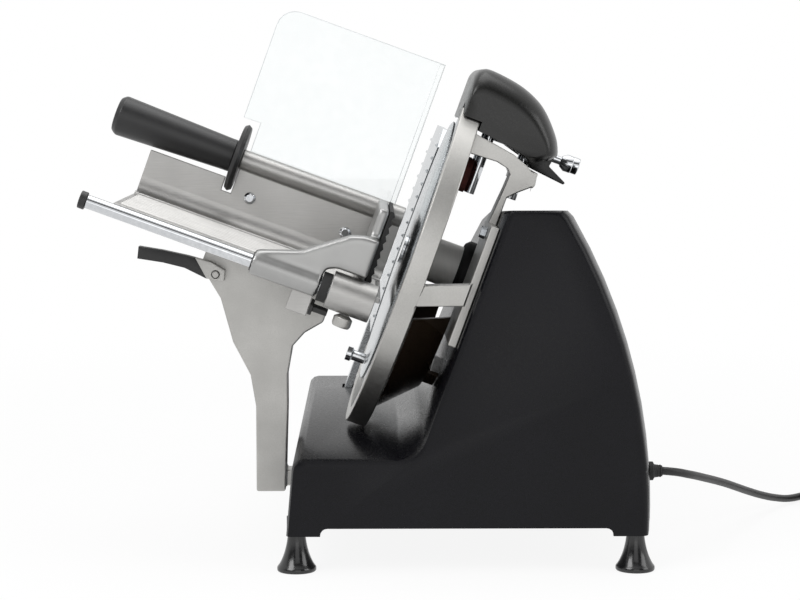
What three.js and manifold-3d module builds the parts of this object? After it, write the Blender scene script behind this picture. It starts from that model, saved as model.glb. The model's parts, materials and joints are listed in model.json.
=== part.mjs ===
// Gravity-feed meat slicer: tilted blade, sliding carriage, black cast base. Millimetres, +Z up.
// X runs from the carriage to the motor tower, Y from the service end to the operator.
import * as THREE from 'three';
import { mergeVertices } from 'three/addons/utils/BufferGeometryUtils.js';
import Module from 'manifold-3d';

const wasm = await Module();
wasm.setup();

// Driving dimensions: fits
const GAP = 0.3; // between pieces that are fixed together
const RUN = 0.3; // between pieces that move on each other
const THROUGH = 1; // how far a cutter stands past the face it cuts

// Blade unit, tilted about Y. a runs along the blade axis towards the tower, c up the blade's face
const TILT = THREE.MathUtils.degToRad(20);
const DECK_Z = 82;
const AXIS_X = 24;
const AXIS_Y = 150;
const BLADE_R = 125;
const BLADE_OVER_DECK = 11;
const AXIS_Z = DECK_Z + BLADE_R + BLADE_OVER_DECK;
const BLADE_A = 5;
const BLADE_T = 4;
const BLADE_BEVEL = 14;
const RING_CLEAR = 2.3;
const RING_RIM = 10.7;
const RING_W = 15;
const CUT_HALF_ANGLE = 42;
const HOOD_ANGLE = 122;
const COVER_R = 104;
const COVER_T = 2.5;
const TIE_R = 4;
const SPINDLE_R = 9;
const HOUSING_R = 17;
const HOUSING_FLANGE_R = 23;
const HOUSING_FLANGE_T = 11;
const BEARING_W = 8;

// Base casting
const BASE_Y = 440;
const BASE_LEFT_FOOT = -63;
const BASE_LEFT_DECK = -59;
const FOOT_H = 26.7;
const WALL = 4;
const ARCH_H = 6;
const ARCH_END = 24;
const ARCH_R = 5;
const WALL_A = 52; // the tower's sloping face, square to the blade axis
const TOWER_END_Y = 322;
const TOWER_OVER_AXIS = 39;
const TOWER_TOP = AXIS_Z + TOWER_OVER_AXIS;
const TOWER_FALL = 12; // how much the crown drops along its flat stretch
const CROWN_FLAT_Y = 190;
const DECK_FILLET = 20;
const EDGE_R = 4;
const BACK_BULGE = 7;

// Drive
const DRIVE_PLATE_A = 82;
const DRIVE_PLATE_T = 4;
const DRIVE_HALF_Y = 50;
const PULLEY_A = 64;
const PULLEY_W = 11;
const BLADE_PULLEY_R = 30;
const MOTOR_PULLEY_R = 12;
const BELT_T = 2.4;
const MOTOR_C = -82;
const MOTOR_R = 41;
const MOTOR_LEN = 76;
const MOTOR_SHAFT_R = 5;

// Carriage and tray
const BAR_X = -46;
const BAR_Z = 47;
const BAR_R = 6;
const LEG_Y = 130;
const LEG_T = 24;
const LEG_FOOT_Z = 37;
const TRAVEL_BACK = 35;
const TRAVEL_FORWARD = 235;
const TRAY_WALL_Y = 215;
const TRAY_NEAR_Y = 64;
const TRAY_LEFT_A = -214;
const TRAY_RIGHT_A = -9;
const TRAY_T = 4;
const BED_C = -38; // underside of the tray's bed
const WALL_TOP_C = 13;
const BEAD_C = 19;
const BEAD_R = 8;
const BEAD_LEFT_A = -144;
const GUARD_T = 4;
const GUARD_LEFT_A = -154;
const GUARD_RIGHT_A = -18;
const GUARD_TOP_C = 143;
const FLANGE_R = 27.5;
const FLANGE_T = 6;
const GRIP_R = 13;
const GRIP_END_R = 16;
const GRIP_LEN = 98;

// Pusher on its rod along the tray's near edge
const ROD_Y = 50;
const ROD_C = -38.6;
const ROD_R = 5;
const ROD_LEFT_A = -231;
const BOSS_R = 14;
const BOSS_LEFT_A = -46.5;
const BOSS_RIGHT_A = -13;
const BUSH_WALL = 1.8;
const SLEEVE_R = 9.5;
const SLEEVE_LEFT_A = -106;
const SLEEVE_RIGHT_A = -54;
const PUSHER_PLATE_A = -32;
const PUSHER_PLATE_T = 8;
const PUSHER_PAD_T = 4.5;
const PUSHER_FAR_Y = 196;
const PUSHER_HALF_C = 28;
const TOOTH_COUNT = 9;

// Gauge plate and thickness setting
const GAUGE_A = -1;
const GAUGE_T = 6;
const GAUGE_BOTTOM_C = -80;
const GAUGE_TOP_C = 95;
const GAUGE_ARC_CLEAR = 3;
const RIB_PITCH = 11.5;
const RIB_H = 1.6;
const GAUGE_FOOT_Y = 372;
const GAUGE_FOOT_W = 20;
const GAUGE_BAR_DROP = 32; // below the blade's edge
const GAUGE_BAR_C = -BLADE_R - GAUGE_BAR_DROP;
const GAUGE_BAR_R = 3.5;
const GAUGE_TRAVEL = 12;
const CAM_REACH = 22; // from the cam's axis to the follower pin with the gauge closed
const CAM_TURN = THREE.MathUtils.degToRad(270);
const CAM_T = 8;
const PIN_R = 3;
const KNOB_R = 19;
const KNOB_T = 24;

// Sharpener
const HOOD_NEAR_Y = 66;
const HOOD_FAR_Y = 190;
const HOOD_WALL = 3;
const POST_A = 59.5;
const POST_R = 5;
const STONE_R = 13;
const STONE_T = 6;
const STONE_A = 24;

// Switch panel, feet and cord
const SWITCH_X = 118;
const SWITCH_Z = 58;
const SWITCH_W = 52;
const SWITCH_H = 28;
const BUTTON_R = 8;
const FOOT_FLANGE_R = 14;
const FOOT_NECK_R = 6.25;
const FOOT_INSET_Y = 14;
const FOOT_X_LEFT = -56;
const FOOT_X_RIGHT = 185;
const CORD_R = 3;
const CORD_GAP = 0.7;

// Solids
const vec = (x, y, z) => new THREE.Vector3(x, y, z);

function solid(geometry) {
  const bare = geometry.index ? geometry.toNonIndexed() : geometry.clone();
  bare.deleteAttribute('normal');
  bare.deleteAttribute('uv');
  const merged = mergeVertices(bare, 1e-4);
  return new wasm.Manifold(new wasm.Mesh({
    numProp: 3,
    vertProperties: new Float32Array(merged.attributes.position.array),
    triVerts: new Uint32Array(merged.index.array),
  }));
}

function shell(manifold) {
  const mesh = manifold.getMesh();
  const geometry = new THREE.BufferGeometry();
  geometry.setAttribute('position', new THREE.BufferAttribute(new Float32Array(mesh.vertProperties), 3));
  geometry.setIndex(new THREE.BufferAttribute(new Uint32Array(mesh.triVerts), 1));
  geometry.computeVertexNormals();
  return geometry;
}

const join = (...parts) => shell(parts.map(solid).reduce((sum, part) => sum.add(part)));
const cut = (body, ...tools) =>
  shell(tools.map(solid).reduce((rest, tool) => rest.subtract(tool), solid(body)));

// Prisms: an outline in two axes, drawn out along the third
const AXES = {
  x: new THREE.Matrix4().makeBasis(vec(0, 1, 0), vec(0, 0, 1), vec(1, 0, 0)),
  y: new THREE.Matrix4().makeBasis(vec(1, 0, 0), vec(0, 0, 1), vec(0, -1, 0)),
  z: new THREE.Matrix4(),
};

function prism(axis, outline, from, to, hole) {
  const flat = (points) => points.map(([p, q]) => new THREE.Vector2(p, q));
  const shape = new THREE.Shape(flat(outline));
  if (hole) shape.holes.push(new THREE.Path(flat(hole)));
  const geometry = new THREE.ExtrudeGeometry(shape, { depth: to - from, bevelEnabled: false });
  geometry.applyMatrix4(AXES[axis]);
  const shift = axis === 'y' ? to : from;
  return geometry.translate(axis === 'x' ? shift : 0, axis === 'y' ? shift : 0, axis === 'z' ? shift : 0);
}

// A round solid about an axis: profile points are [radius, distance along the axis], rising
function turned(axis, centre, profile, sides = 16) {
  const geometry = new THREE.LatheGeometry(profile.map(([r, along]) => new THREE.Vector2(r, along)), sides);
  if (axis === 'x') geometry.rotateZ(-Math.PI / 2);
  if (axis === 'z') geometry.rotateX(Math.PI / 2);
  return geometry.translate(...centre);
}

const rod = (axis, centre, radius, from, to, sides = 16) =>
  turned(axis, centre, [[0, from], [radius, from], [radius, to], [0, to]], sides);

const tube = (axis, centre, inner, outer, from, to, sides = 16) =>
  turned(axis, centre, [[inner, from], [outer, from], [outer, to], [inner, to], [inner, from]], sides);

function box(from, to) {
  const size = to.map((value, i) => value - from[i]);
  const middle = to.map((value, i) => (value + from[i]) / 2);
  return new THREE.BoxGeometry(...size).translate(...middle);
}

function arc(centre, radius, fromDeg, toDeg, steps) {
  return Array.from({ length: steps + 1 }, (_, i) => {
    const angle = THREE.MathUtils.degToRad(fromDeg + ((toDeg - fromDeg) * i) / steps);
    return [centre[0] + radius * Math.cos(angle), centre[1] + radius * Math.sin(angle)];
  });
}

// A skin through closed outlines in (X, z) that stand at rising Y, counter-clockwise seen from -Y
function loft(sections) {
  const count = sections[0].outline.length;
  const positions = sections.flatMap(({ y, outline }) => outline.flatMap(([x, z]) => [x, y, z]));
  const index = [];
  for (let j = 0; j < sections.length - 1; j += 1) {
    for (let k = 0; k < count; k += 1) {
      const next = (k + 1) % count;
      const [a, b, c, d] = [j * count + k, j * count + next, (j + 1) * count + next, (j + 1) * count + k];
      index.push(a, d, b, b, d, c);
    }
  }
  const last = (sections.length - 1) * count;
  const flat = (section) => section.outline.map(([x, z]) => new THREE.Vector2(x, z));
  for (const [a, b, c] of THREE.ShapeUtils.triangulateShape(flat(sections[0]), [])) index.push(a, b, c);
  for (const [a, b, c] of THREE.ShapeUtils.triangulateShape(flat(sections.at(-1)), [])) {
    index.push(last + a, last + c, last + b);
  }
  const geometry = new THREE.BufferGeometry();
  geometry.setAttribute('position', new THREE.Float32BufferAttribute(positions, 3));
  geometry.setIndex(index);
  return geometry;
}

// Finishes
const finish = (color, roughness, metalness) =>
  new THREE.MeshStandardMaterial({ color, roughness, metalness });
const PAINT = () => finish(0x26252b, 0.45, 0.1);
const CAST = () => finish(0xb4b0a8, 0.5, 0.9);
const POLISHED = () => finish(0x9aa3a8, 0.25, 1);
const STEEL = () => finish(0xa9adb2, 0.3, 1);
const CHROME = () => finish(0xd0d2d4, 0.1, 1);
const BLACK = () => finish(0x1b1b1c, 0.4, 0);
const RUBBER = () => finish(0x222222, 0.8, 0);
const DARK_SHEET = () => finish(0x241f19, 0.5, 0.6);
const STONE = () => finish(0x5a2a26, 0.9, 0);
const RED = () => finish(0xb02a22, 0.4, 0);
const GREEN = () => finish(0x2f7d46, 0.4, 0);

function clear() {
  const material = finish(0xf4f6f6, 0.05, 0);
  material.transparent = true;
  material.opacity = 0.3;
  return material;
}

// The scene: a level group for the base and a tilted one for the blade and the tray
const slicer = new THREE.Group();
const level = new THREE.Group();
const tilted = new THREE.Group();
tilted.position.set(AXIS_X, 0, AXIS_Z);
tilted.rotation.y = TILT;
tilted.updateMatrix();
slicer.add(level, tilted);

function add(group, name, geometry, material) {
  const mesh = new THREE.Mesh(geometry, material);
  mesh.name = name;
  group.add(mesh);
}

const toLevel = (geometry) => geometry.clone().applyMatrix4(tilted.matrix);
const levelPoint = (a, y, c) => vec(a, y, c).applyMatrix4(tilted.matrix);
const HUB = [0, AXIS_Y, 0];

// Base casting: a hollow deck and tower, open below
const BACK_ARC = [[192, 26], [177, 152], [132, 256]]; // the tower's curved back, from foot to crown
const TOWER_ROOT = DECK_Z - 10;
const TOWER_END_Z = DECK_Z + 36;
const CROWN_R = 4;
const DECK_R = 8;

function circleThrough([p, q, r]) {
  const [ax, ay, bx, by] = [q[0] - p[0], q[1] - p[1], r[0] - p[0], r[1] - p[1]];
  const d = 2 * (ax * by - ay * bx);
  const x = (by * (ax * ax + ay * ay) - ay * (bx * bx + by * by)) / d;
  const y = (ax * (bx * bx + by * by) - bx * (ax * ax + ay * ay)) / d;
  return { x: p[0] + x, z: p[1] + y, radius: Math.hypot(x, y) };
}

const BACK = circleThrough(BACK_ARC);

function bulge(y) {
  const reach = 60;
  const short = Math.max(0, reach - Math.min(y, BASE_Y - y)) / reach;
  return BACK_BULGE * (1 - short * short);
}

function backX(z, inset, y) {
  return BACK.x + Math.sqrt((BACK.radius - inset) ** 2 - (z - BACK.z) ** 2) + bulge(y);
}

function faceX(z, inset) {
  const a = WALL_A + inset;
  const c = (z - AXIS_Z + a * Math.sin(TILT)) / Math.cos(TILT);
  return AXIS_X + a * Math.cos(TILT) + c * Math.sin(TILT);
}

function crownZ(y) {
  const flat = TOWER_TOP - TOWER_FALL * Math.min(1, y / CROWN_FLAT_Y);
  const past = Math.max(0, y - CROWN_FLAT_Y) / (TOWER_END_Y - CROWN_FLAT_Y);
  return TOWER_END_Z + (flat - TOWER_END_Z) * Math.sqrt(Math.max(0, 1 - past * past));
}

function backEdge(top, bottom, inset, y, steps) {
  return Array.from({ length: steps + 1 }, (_, i) => {
    const z = top + ((bottom - top) * i) / steps;
    return [backX(z, inset, y), z];
  });
}

function towerOutline(y, inset, filleted) {
  const top = crownZ(y) - inset;
  const shoulder = top - CROWN_R;
  const tiltDeg = THREE.MathUtils.radToDeg(TILT);
  const corner = [faceX(shoulder, inset + CROWN_R), shoulder];
  const fillet = [faceX(DECK_Z + DECK_FILLET, -DECK_FILLET), DECK_Z + DECK_FILLET];
  const foot = filleted
    ? [[fillet[0], TOWER_ROOT], ...arc(fillet, DECK_FILLET + inset, -90, -tiltDeg, 5)]
    : [[faceX(TOWER_ROOT, inset), TOWER_ROOT]];
  const face = [...foot, ...arc(corner, CROWN_R, 180 - tiltDeg, 90, 3)];
  const back = backEdge(shoulder, TOWER_ROOT, inset, y, 8);
  return [...face, [back[0][0] - CROWN_R, top], ...back].reverse();
}

function baseOutline(y, inset, bottom) {
  const top = DECK_Z - inset;
  const shoulder = top - DECK_R;
  const left = arc([BASE_LEFT_DECK + inset + DECK_R, shoulder], DECK_R, 180, 90, 3);
  const back = backEdge(shoulder, bottom, inset, y, 3);
  return [[BASE_LEFT_FOOT + inset, bottom], ...left, [back[0][0] - DECK_R, top], ...back].reverse();
}

// Insets that round the two end edges of a shell, as [distance from the end, inset]
const EDGE_STEPS = [[0, EDGE_R], [EDGE_R * 0.3, EDGE_R * 0.3], [EDGE_R, 0]];

function along(from, to, middle) {
  const near = EDGE_STEPS.map(([step, inset]) => [from + step, inset]);
  const far = EDGE_STEPS.map(([step, inset]) => [to - step, inset]).reverse();
  return [...near, ...middle.map((y) => [y, 0]), ...far];
}

const CROWN_STEPS = [35, 90, CROWN_FLAT_Y, 0.35, 0.6, 0.8, 0.92].map((step) =>
  (step < 1 ? CROWN_FLAT_Y + step * (TOWER_END_Y - CROWN_FLAT_Y) : step));
const FRONT_STEPS = [35, 90, BASE_Y - 90, BASE_Y - 35];

function baseShell() {
  const outerTower = loft(along(0, TOWER_END_Y, CROWN_STEPS)
    .map(([y, inset]) => ({ y, outline: towerOutline(y, inset, true) })));
  const innerTower = loft([WALL, ...CROWN_STEPS, TOWER_END_Y - WALL]
    .map((y) => ({ y, outline: towerOutline(y, WALL, false) })));
  const outerBase = loft(along(0, BASE_Y, FRONT_STEPS)
    .map(([y, inset]) => ({ y, outline: baseOutline(y, inset, FOOT_H + GAP) })));
  const innerBase = loft([WALL, ...FRONT_STEPS, BASE_Y - WALL]
    .map((y) => ({ y, outline: baseOutline(y, WALL, FOOT_H - THROUGH) })));
  return cut(join(outerTower, outerBase), innerTower, innerBase);
}

// Where the drive, the carriage and the controls pass the casting
const NECK_HALF_Y = 10;
const NECK_HALF_Z = 6;
const SLOT_CLEAR = 2;
const BOSS_TOP_Z = BAR_Z - BAR_R - SLOT_CLEAR;
const FOOT_BOSS_R = 7;
const LUG_T = 6;
const LUG_HALF_Y = 8;
const GAUGE_BAR_FROM = -10;
const GAUGE_BAR_TO = 76;
const PIN_A = 20;
const CAM_A = PIN_A + CAM_REACH;
const CAM_Y = GAUGE_FOOT_Y + 12;
const SHAFT_R = 4;
const DIAL_T = 2;
const KNOB_Y = BASE_Y + DIAL_T + GAP * 3;
const SHAFT_END_Y = KNOB_Y + KNOB_T;
const camAxis = levelPoint(CAM_A, 0, GAUGE_BAR_C);
const GLAND_Y = 60;
const GLAND_Z = 62.8;
const GLAND_R = 5;
const GLAND_LEN = 24;
const BACK_X = backX(GLAND_Z, 0, GLAND_Y);
const FOOT_SPOTS = [
  ['near_left', FOOT_X_LEFT, FOOT_INSET_Y],
  ['near_right', FOOT_X_RIGHT, FOOT_INSET_Y],
  ['far_left', FOOT_X_LEFT, BASE_Y - FOOT_INSET_Y],
  ['far_right', FOOT_X_RIGHT, BASE_Y - FOOT_INSET_Y],
];
const BUTTONS = [['start_button', SWITCH_X - SWITCH_W / 4], ['stop_button', SWITCH_X + SWITCH_W / 4]];

function gaugeLug(a) {
  const at = levelPoint(a, GAUGE_FOOT_Y, GAUGE_BAR_C);
  const drop = GAUGE_BAR_R + LUG_T / 2;
  return box([at.x - LUG_T / 2, GAUGE_FOOT_Y - LUG_HALF_Y, at.z - drop],
    [at.x + LUG_T / 2, GAUGE_FOOT_Y + LUG_HALF_Y, DECK_Z - WALL / 2]);
}

function baseCasting() {
  const far = 500;
  const bosses = FOOT_SPOTS.map(([, x, y]) =>
    rod('z', [x, y, 0], FOOT_BOSS_R, FOOT_H + GAP, BOSS_TOP_Z, 24));
  const lugs = [gaugeLug(GAUGE_BAR_FROM + LUG_T / 2), gaugeLug(GAUGE_BAR_TO - LUG_T / 2)];
  const body = join(baseShell(), ...bosses, ...lugs);
  const arch = FOOT_H + ARCH_H;
  const endRight = BACK_ARC[0][0] - ARCH_END;
  const archOutline = (from, to) => [[from, 0], [to, 0],
    ...arc([to - ARCH_R, arch - ARCH_R], ARCH_R, 0, 90, 4),
    ...arc([from + ARCH_R, arch - ARCH_R], ARCH_R, 90, 180, 4)];
  const archAlongX = prism('y', archOutline(BASE_LEFT_FOOT + ARCH_END, endRight), -far, far * 2);
  const archAlongY = prism('x', archOutline(ARCH_END, BASE_Y - ARCH_END), -far, far);
  const [slotHalfY, slotHalfZ] = [NECK_HALF_Y + SLOT_CLEAR, NECK_HALF_Z + SLOT_CLEAR];
  const legSlot = box(
    [BASE_LEFT_FOOT - THROUGH, LEG_Y - slotHalfY - TRAVEL_BACK, BAR_Z - slotHalfZ],
    [BASE_LEFT_DECK + WALL * 2, LEG_Y + slotHalfY + TRAVEL_FORWARD, BAR_Z + slotHalfZ]);
  const halfFoot = GAUGE_FOOT_W / 2 + SLOT_CLEAR;
  const gaugeSlot = toLevel(box(
    [GAUGE_A - SLOT_CLEAR, GAUGE_FOOT_Y - halfFoot, GAUGE_BAR_C],
    [GAUGE_A + GAUGE_T + GAUGE_TRAVEL + SLOT_CLEAR, GAUGE_FOOT_Y + halfFoot, GAUGE_BAR_C + 40]));
  const gaugeBore = toLevel(rod('x', [0, GAUGE_FOOT_Y, GAUGE_BAR_C], GAUGE_BAR_R + GAP,
    GAUGE_BAR_FROM, GAUGE_BAR_TO + LUG_T, 20));
  const housingHole = toLevel(rod('x', HUB, HOUSING_R + GAP, WALL_A - THROUGH, WALL_A + WALL * 2));
  const shaftHole = rod('y', [camAxis.x, 0, camAxis.z], SHAFT_R + RUN, BASE_Y - WALL * 2,
    BASE_Y + THROUGH, 24);
  const buttonHoles = BUTTONS.map(([, x]) =>
    rod('y', [x, 0, SWITCH_Z], BUTTON_R + RUN, BASE_Y - WALL * 2, BASE_Y + THROUGH, 24));
  const glandHole = rod('x', [0, GLAND_Y, GLAND_Z], GLAND_R + GAP, BACK_X - WALL * 3, BACK_X + WALL, 24);
  return cut(body, archAlongX, archAlongY, legSlot, gaugeSlot, gaugeBore, housingHole, shaftHole,
    ...buttonHoles, glandHole);
}

add(level, 'base_casting', baseCasting(), PAINT());

const COVER_Z = FOOT_H + ARCH_H + 1.5;
const COVER_PLATE_T = 2;
const coverPlate = box([BASE_LEFT_FOOT + WALL + THROUGH, WALL + GAP, COVER_Z],
  [backX(COVER_Z, WALL, 0) - GAP, BASE_Y - WALL - GAP, COVER_Z + COVER_PLATE_T]);
const bossRelief = FOOT_SPOTS.map(([, x, y]) =>
  rod('z', [x, y, 0], FOOT_BOSS_R + GAP, FOOT_H, BOSS_TOP_Z, 24));
add(level, 'bottom_cover', cut(coverPlate, ...bossRelief), BLACK());

for (const [spot, x, y] of FOOT_SPOTS) {
  const trumpet = [[0, 0], [FOOT_FLANGE_R, 0], [FOOT_FLANGE_R, 2.5], [FOOT_NECK_R + 3, 6],
    [FOOT_NECK_R + 0.6, 12], [FOOT_NECK_R, FOOT_H], [0, FOOT_H]];
  add(level, `foot_${spot}`, turned('z', [x, y, 0], trumpet, 16), BLACK());
}

// Drive inside the tower: motor, belt and hollow spindle
const MOTOR_HUB = [0, AXIS_Y, MOTOR_C];
const DRIVE_TOP_C = 14;
const DRIVE_BOTTOM_C = -110;
const RIM_H = 2;
const RIM_W = 1.5;
const SPIGOT_R = 13.7;
const CARRIER_R = 26;
const CARRIER_A = BLADE_A + BLADE_T + GAP;
const CARRIER_T = 4;
const SPINDLE_END_A = 79;
const BEARING_R = HOUSING_R - 3;
const HOUSING_FROM = RING_W;
const HOUSING_TO = WALL_A + WALL * 2;
const FLANGE_PLATE_T = 6.5;
const FLANGE_PLATE_A = WALL_A - GAP - FLANGE_PLATE_T;

const BLADE_BORE_R = SPIGOT_R + GAP;
const BLADE_EDGE_T = 0.5;
add(tilted, 'blade', turned('x', HUB, [[BLADE_BORE_R, BLADE_A], [BLADE_R, BLADE_A],
  [BLADE_R, BLADE_A + BLADE_EDGE_T], [BLADE_R - BLADE_BEVEL, BLADE_A + BLADE_T],
  [BLADE_BORE_R, BLADE_A + BLADE_T], [BLADE_BORE_R, BLADE_A]], 40), STEEL());
const BORE_R = TIE_R + RUN;
add(tilted, 'spindle', turned('x', HUB, [[BORE_R, BLADE_A + GAP], [SPIGOT_R, BLADE_A + GAP],
  [SPIGOT_R, CARRIER_A], [CARRIER_R, CARRIER_A], [CARRIER_R, CARRIER_A + CARRIER_T],
  [SPINDLE_R, CARRIER_A + CARRIER_T], [SPINDLE_R, SPINDLE_END_A], [BORE_R, SPINDLE_END_A],
  [BORE_R, BLADE_A + GAP]]), STEEL());
add(tilted, 'spindle_housing',
  tube('x', HUB, BEARING_R + GAP, HOUSING_R, HOUSING_FROM, HOUSING_TO), POLISHED());
add(tilted, 'housing_flange', turned('x', HUB, [[HOUSING_R + GAP, WALL_A - GAP - HOUSING_FLANGE_T],
  [HOUSING_FLANGE_R - 3, WALL_A - GAP - HOUSING_FLANGE_T], [HOUSING_FLANGE_R, WALL_A - HOUSING_FLANGE_T + 3],
  [HOUSING_FLANGE_R, WALL_A - GAP], [HOUSING_R + GAP, WALL_A - GAP],
  [HOUSING_R + GAP, WALL_A - GAP - HOUSING_FLANGE_T]]), BLACK());
const bearingStarts = { bearing_front: HOUSING_FROM + 2, bearing_rear: HOUSING_TO - 2 - BEARING_W };
for (const [name, from] of Object.entries(bearingStarts)) {
  add(tilted, name, tube('x', HUB, SPINDLE_R + RUN, BEARING_R, from, from + BEARING_W), STEEL());
}

function pulley(centre, bore, radius) {
  const end = PULLEY_A + PULLEY_W;
  const rim = radius + RIM_H;
  return turned('x', centre, [[bore, PULLEY_A], [rim, PULLEY_A], [rim, PULLEY_A + RIM_W],
    [radius, PULLEY_A + RIM_W], [radius, end - RIM_W], [rim, end - RIM_W], [rim, end],
    [bore, end], [bore, PULLEY_A]]);
}

add(tilted, 'spindle_pulley', pulley(HUB, SPINDLE_R + GAP, BLADE_PULLEY_R), STEEL());
add(tilted, 'motor_pulley', pulley(MOTOR_HUB, MOTOR_SHAFT_R + GAP, MOTOR_PULLEY_R), STEEL());

function beltLine(offset) {
  const swing = THREE.MathUtils.radToDeg(Math.acos((BLADE_PULLEY_R - MOTOR_PULLEY_R) / -MOTOR_C));
  return [...arc([AXIS_Y, 0], BLADE_PULLEY_R + offset, swing - 90, 270 - swing, 24),
    ...arc([AXIS_Y, MOTOR_C], MOTOR_PULLEY_R + offset, -90 - swing, swing - 90, 12)];
}

add(tilted, 'drive_belt', prism('x', beltLine(RUN + BELT_T), PULLEY_A + RIM_W + RUN,
  PULLEY_A + PULLEY_W - RIM_W - RUN, beltLine(RUN)), RUBBER());

const LEG_PLATE_T = 4;
const driveFrom = WALL_A + WALL + GAP;
const driveTo = DRIVE_PLATE_A + DRIVE_PLATE_T;
const [driveNear, driveFar] = [AXIS_Y - DRIVE_HALF_Y, AXIS_Y + DRIVE_HALF_Y];
const channel = prism('z', [[driveFrom, driveNear], [driveTo, driveNear], [driveTo, driveFar],
  [driveFrom, driveFar], [driveFrom, driveFar - LEG_PLATE_T], [DRIVE_PLATE_A, driveFar - LEG_PLATE_T],
  [DRIVE_PLATE_A, driveNear + LEG_PLATE_T], [driveFrom, driveNear + LEG_PLATE_T]],
DRIVE_BOTTOM_C, DRIVE_TOP_C);
add(tilted, 'drive_bracket', cut(channel,
  rod('x', HUB, TIE_R + GAP, DRIVE_PLATE_A - THROUGH, driveTo + THROUGH, 20),
  rod('x', MOTOR_HUB, MOTOR_SHAFT_R + RUN, DRIVE_PLATE_A - THROUGH, driveTo + THROUGH, 20)), STEEL());

const MOTOR_WALL = 4;
const ROTOR_R = 24;
const ROTOR_CLEAR = 0.6;
const motorFrom = driveTo + GAP;
const motorTo = motorFrom + MOTOR_LEN;
const coreFrom = motorFrom + MOTOR_WALL + ROTOR_CLEAR;
const coreTo = motorTo - MOTOR_WALL - ROTOR_CLEAR;
add(tilted, 'motor_case', turned('x', MOTOR_HUB, [[MOTOR_SHAFT_R + RUN, motorFrom], [MOTOR_R, motorFrom],
  [MOTOR_R, motorTo], [MOTOR_SHAFT_R + RUN, motorTo], [MOTOR_SHAFT_R + RUN, motorTo - MOTOR_WALL],
  [ROTOR_R + ROTOR_CLEAR, motorTo - MOTOR_WALL], [ROTOR_R + ROTOR_CLEAR, motorFrom + MOTOR_WALL],
  [MOTOR_SHAFT_R + RUN, motorFrom + MOTOR_WALL], [MOTOR_SHAFT_R + RUN, motorFrom]]), DARK_SHEET());
add(tilted, 'motor_rotor', turned('x', MOTOR_HUB, [[0, PULLEY_A - 2], [MOTOR_SHAFT_R, PULLEY_A - 2],
  [MOTOR_SHAFT_R, coreFrom], [ROTOR_R, coreFrom], [ROTOR_R, coreTo], [MOTOR_SHAFT_R, coreTo],
  [MOTOR_SHAFT_R, motorTo - GAP], [0, motorTo - GAP]]), STEEL());

// Blade cover on a tie rod through the hollow spindle
const COVER_A = GAUGE_A;
const TIE_HEAD_R = 11;
const TIE_HEAD_T = 2.5;
const TIE_THREAD = 9;
const STUD_C = -90;
const STUD_R = 4;
const STUD_LEN = 15;
const coverDisc = turned('x', HUB, [[TIE_R + GAP, COVER_A], [COVER_R - 2, COVER_A], [COVER_R, COVER_A + 1],
  [COVER_R, COVER_A + COVER_T], [TIE_R + GAP, COVER_A + COVER_T], [TIE_R + GAP, COVER_A]], 40);
add(tilted, 'blade_cover', coverDisc, POLISHED());
const headSeat = COVER_A - GAP;
const tieEnd = driveTo + TIE_THREAD;
const headTop = headSeat - TIE_HEAD_T;
add(tilted, 'cover_tie_rod', turned('x', HUB, [[0, headTop], [TIE_HEAD_R, headTop],
  [TIE_HEAD_R, headSeat], [TIE_R, headSeat], [TIE_R, tieEnd], [0, tieEnd]], 24), CHROME());
const studEnd = headSeat - STUD_LEN;
add(tilted, 'cover_stud', turned('x', [0, AXIS_Y, STUD_C], [[0, studEnd], [STUD_R + 1.5, studEnd],
  [STUD_R + 1.5, studEnd + 4], [STUD_R, studEnd + 5], [STUD_R, headSeat], [0, headSeat]], 20), CHROME());

// Ring guard: a rim round the blade, its arms and the flange on the tower's face
const RING_R = BLADE_R + RING_CLEAR;
const RING_OUT_R = RING_R + RING_RIM;
const ringNearY = AXIS_Y - RING_OUT_R;
const NEAR_ARM_Y = [1.5, 16].map((inset) => ringNearY + inset);
const TOP_ARM_Y = [50, 74].map((inset) => ringNearY + inset);
const SHELF_A = [52, 67];
const SHELF_C = [79, 90];
const POST_Y = 140;
const SHELF_FAR_Y = POST_Y + 16;
const FLANGE_Y = [20, 92];
const FLANGE_C = [-45, 45];

function ringGuard() {
  const end = 360 - CUT_HALF_ANGLE;
  const rim = prism('x', [...arc([AXIS_Y, 0], RING_OUT_R, HOOD_ANGLE, end, 36),
    ...arc([AXIS_Y, 0], RING_R, end, HOOD_ANGLE, 36)], 0, RING_W);
  const start = RING_W - 1;
  const plate = FLANGE_PLATE_A;
  const face = WALL_A - GAP;
  const nearArm = prism('y', [[start, -26.5], [plate + 1, -14.5], [plate + 1, 1.5], [start, -10.5]],
    ...NEAR_ARM_Y);
  const topArm = prism('y', [[start, 102], [start, 87], [36, 88], [45, 86], [48, 82.5], [47.5, 72],
    [plate, 45], [plate, FLANGE_C[0]], [face, FLANGE_C[0]], [face, 66], [57, 71.5],
    [SHELF_A[1] + 1, SHELF_C[0] + 2], [SHELF_A[1], 87], [58, 92.5], [46, 97], [31, 99.5], [20, 101]],
  ...TOP_ARM_Y);
  const shelf = box([SHELF_A[0], TOP_ARM_Y[0], SHELF_C[0]], [SHELF_A[1], SHELF_FAR_Y, SHELF_C[1]]);
  const flange = box([plate, FLANGE_Y[0], FLANGE_C[0]], [face, FLANGE_Y[1], FLANGE_C[1]]);
  return cut(join(rim, nearArm, topArm, shelf, flange),
    rod('z', [POST_A, POST_Y, 0], POST_R + RUN, SHELF_C[0] - THROUGH, SHELF_C[1] + THROUGH, 24));
}

add(tilted, 'ring_guard', ringGuard(), CAST());

const BOLT_AT = [0, 40, 38];
const BOLT_R = 4.5;
const BOLT_H = 4.5;
const boltSeat = FLANGE_PLATE_A - GAP;
add(tilted, 'flange_bolt', rod('x', BOLT_AT, BOLT_R, boltSeat - BOLT_H, boltSeat, 6), STEEL());

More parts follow.
